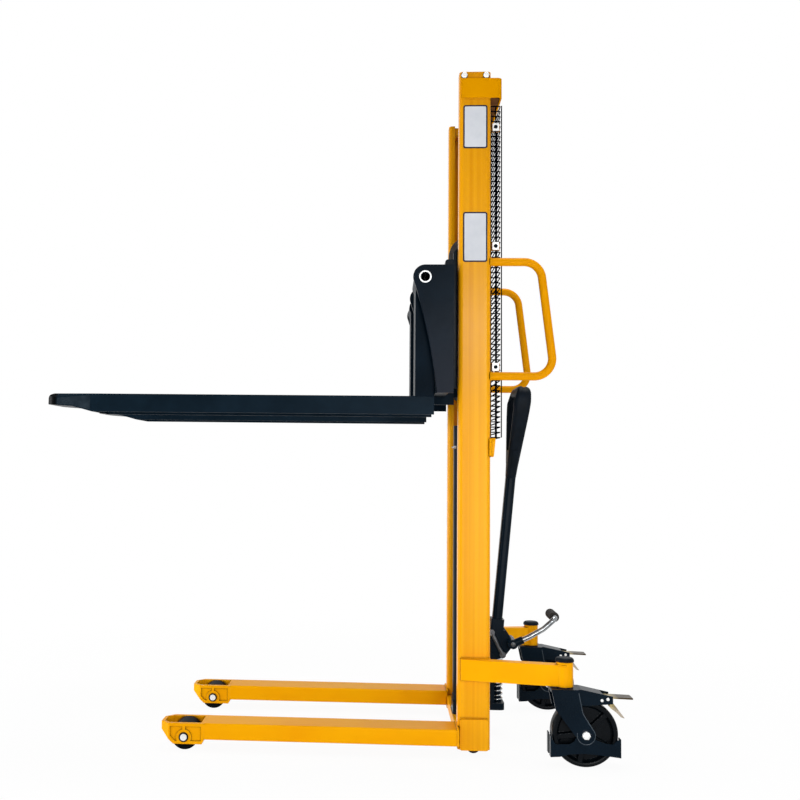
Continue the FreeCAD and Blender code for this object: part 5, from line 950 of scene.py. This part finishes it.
def seen_share(tree):
    """Socket that is 1 on rays the camera sees, plainly or reflected, and 0 on lighting ones."""
    rays = add(tree, "ShaderNodeLightPath").outputs
    seen = add(tree, "ShaderNodeMath", {0: rays["Is Camera Ray"], 1: rays["Is Glossy Ray"]},
               operation="MAXIMUM").outputs["Value"]
    return add(tree, "ShaderNodeMath", {0: seen, 1: rays["Is Transmission Ray"]},
               operation="MAXIMUM").outputs["Value"]


def studio_floor():
    """Pale floor that lights the machine from below and stays almost white to the camera."""
    mesh = bpy.data.meshes.new("studio_floor")
    corners = ((-1, -1, 0), (1, -1, 0), (1, 1, 0), (-1, 1, 0))
    mesh.from_pydata((np.array(corners) * FLOOR_REACH).tolist(), [], [(0, 1, 2, 3)])
    floor = bpy.data.objects.new("studio_floor", mesh)
    bpy.context.scene.collection.objects.link(floor)
    material = bpy.data.materials.new("studio_floor_white")
    material.use_nodes = True
    tree = material.node_tree
    tree.nodes.clear()
    away = add(tree, "ShaderNodeVectorMath", {0: add(tree, "ShaderNodeTexCoord").outputs["Object"]},
               operation="LENGTH")
    faded = add(tree, "ShaderNodeMapRange", {"Value": away.outputs["Value"],
                                             "From Min": FLOOR_FADE[0], "From Max": FLOOR_FADE[1],
                                             "To Min": FLOOR_GLOW, "To Max": 1.0})
    part = add(tree, "ShaderNodeMath", {0: seen_share(tree), 1: faded.outputs["Result"]},
               operation="MULTIPLY")
    pale = add(tree, "ShaderNodeBsdfDiffuse", {"Color": linear("#F4F4F4")})
    glow = add(tree, "ShaderNodeEmission", {"Color": WHITE, "Strength": 1.0})
    both = add(tree, "ShaderNodeMixShader", {0: part.outputs["Value"], 1: pale.outputs["BSDF"],
                                             2: glow.outputs["Emission"]})
    add(tree, "ShaderNodeOutputMaterial", {"Surface": both.outputs["Shader"]})
    mesh.materials.append(material)


def studio_world():
    """World that is white to the camera and a dim lamp to the machine."""
    world = bpy.data.worlds.new("studio")
    bpy.context.scene.world = world
    world.use_nodes = True
    tree = world.node_tree
    tree.nodes.clear()
    strength = add(tree, "ShaderNodeMapRange", {"Value": seen_share(tree), "To Min": WORLD_LIGHT,
                                                "To Max": 1.0})
    sky = add(tree, "ShaderNodeBackground", {"Color": WHITE,
                                             "Strength": strength.outputs["Result"]})
    add(tree, "ShaderNodeOutputWorld", {"Surface": sky.outputs["Background"]})


def soft_boxes():
    """Square lamps, each turned from its place to its aim."""
    for name, spot, aim, size, power in SOFT_BOXES:
        data = bpy.data.lights.new(name, "AREA")
        data.size = size
        data.energy = power
        lamp = bpy.data.objects.new(name, data)
        bpy.context.scene.collection.objects.link(lamp)
        back = unit(np.array(spot) - np.array(aim))
        side = unit(np.cross(UPWARDS, back))
        turn = np.stack([side, np.cross(back, side), back], -1)
        lamp.matrix_world = Matrix.Translation(spot) @ Matrix(turn.tolist()).to_4x4()


def photo_camera():
    """Camera where the photograph was taken from, with its plain view of colours."""
    data = bpy.data.cameras.new("camera")
    data.sensor_width = SENSOR
    data.lens = FOCAL_PIXELS / PICTURE_PIXELS * SENSOR
    data.shift_x = (PICTURE_PIXELS / 2 - CENTRE_PIXEL_X) / PICTURE_PIXELS
    camera = bpy.data.objects.new("camera", data)
    scene = bpy.context.scene
    scene.collection.objects.link(camera)
    camera.matrix_world = (Matrix.Translation(CAMERA_PLACE) @ Matrix.Rotation(CAMERA_YAW, 4, "Z")
                           @ Matrix.Rotation(CAMERA_PITCH, 4, "X")
                           @ Matrix.Rotation(CAMERA_ROLL, 4, "Y")
                           @ Matrix.Rotation(math.pi / 2, 4, "X"))
    scene.camera = camera
    scene.view_settings.view_transform = "Standard"


finish_nodes()
beam_shade_sheet()
mesh_guard()
guard_clamps()
lift_chain()
return_spring()
for near_or_far in SIDES:
    caster_wheel(near_or_far)
    caster_fittings(near_or_far)
    brake_flanges(near_or_far)
    nose_panels(near_or_far)
pedal_sleeve()
tiller_loop()
label_plates()
weld_beads()
stop_bolts()
axle_rings()
fork_shaft()
bleed_screw()
pedal_hub_bolt()
studio_floor()
studio_world()
soft_boxes()
photo_camera()
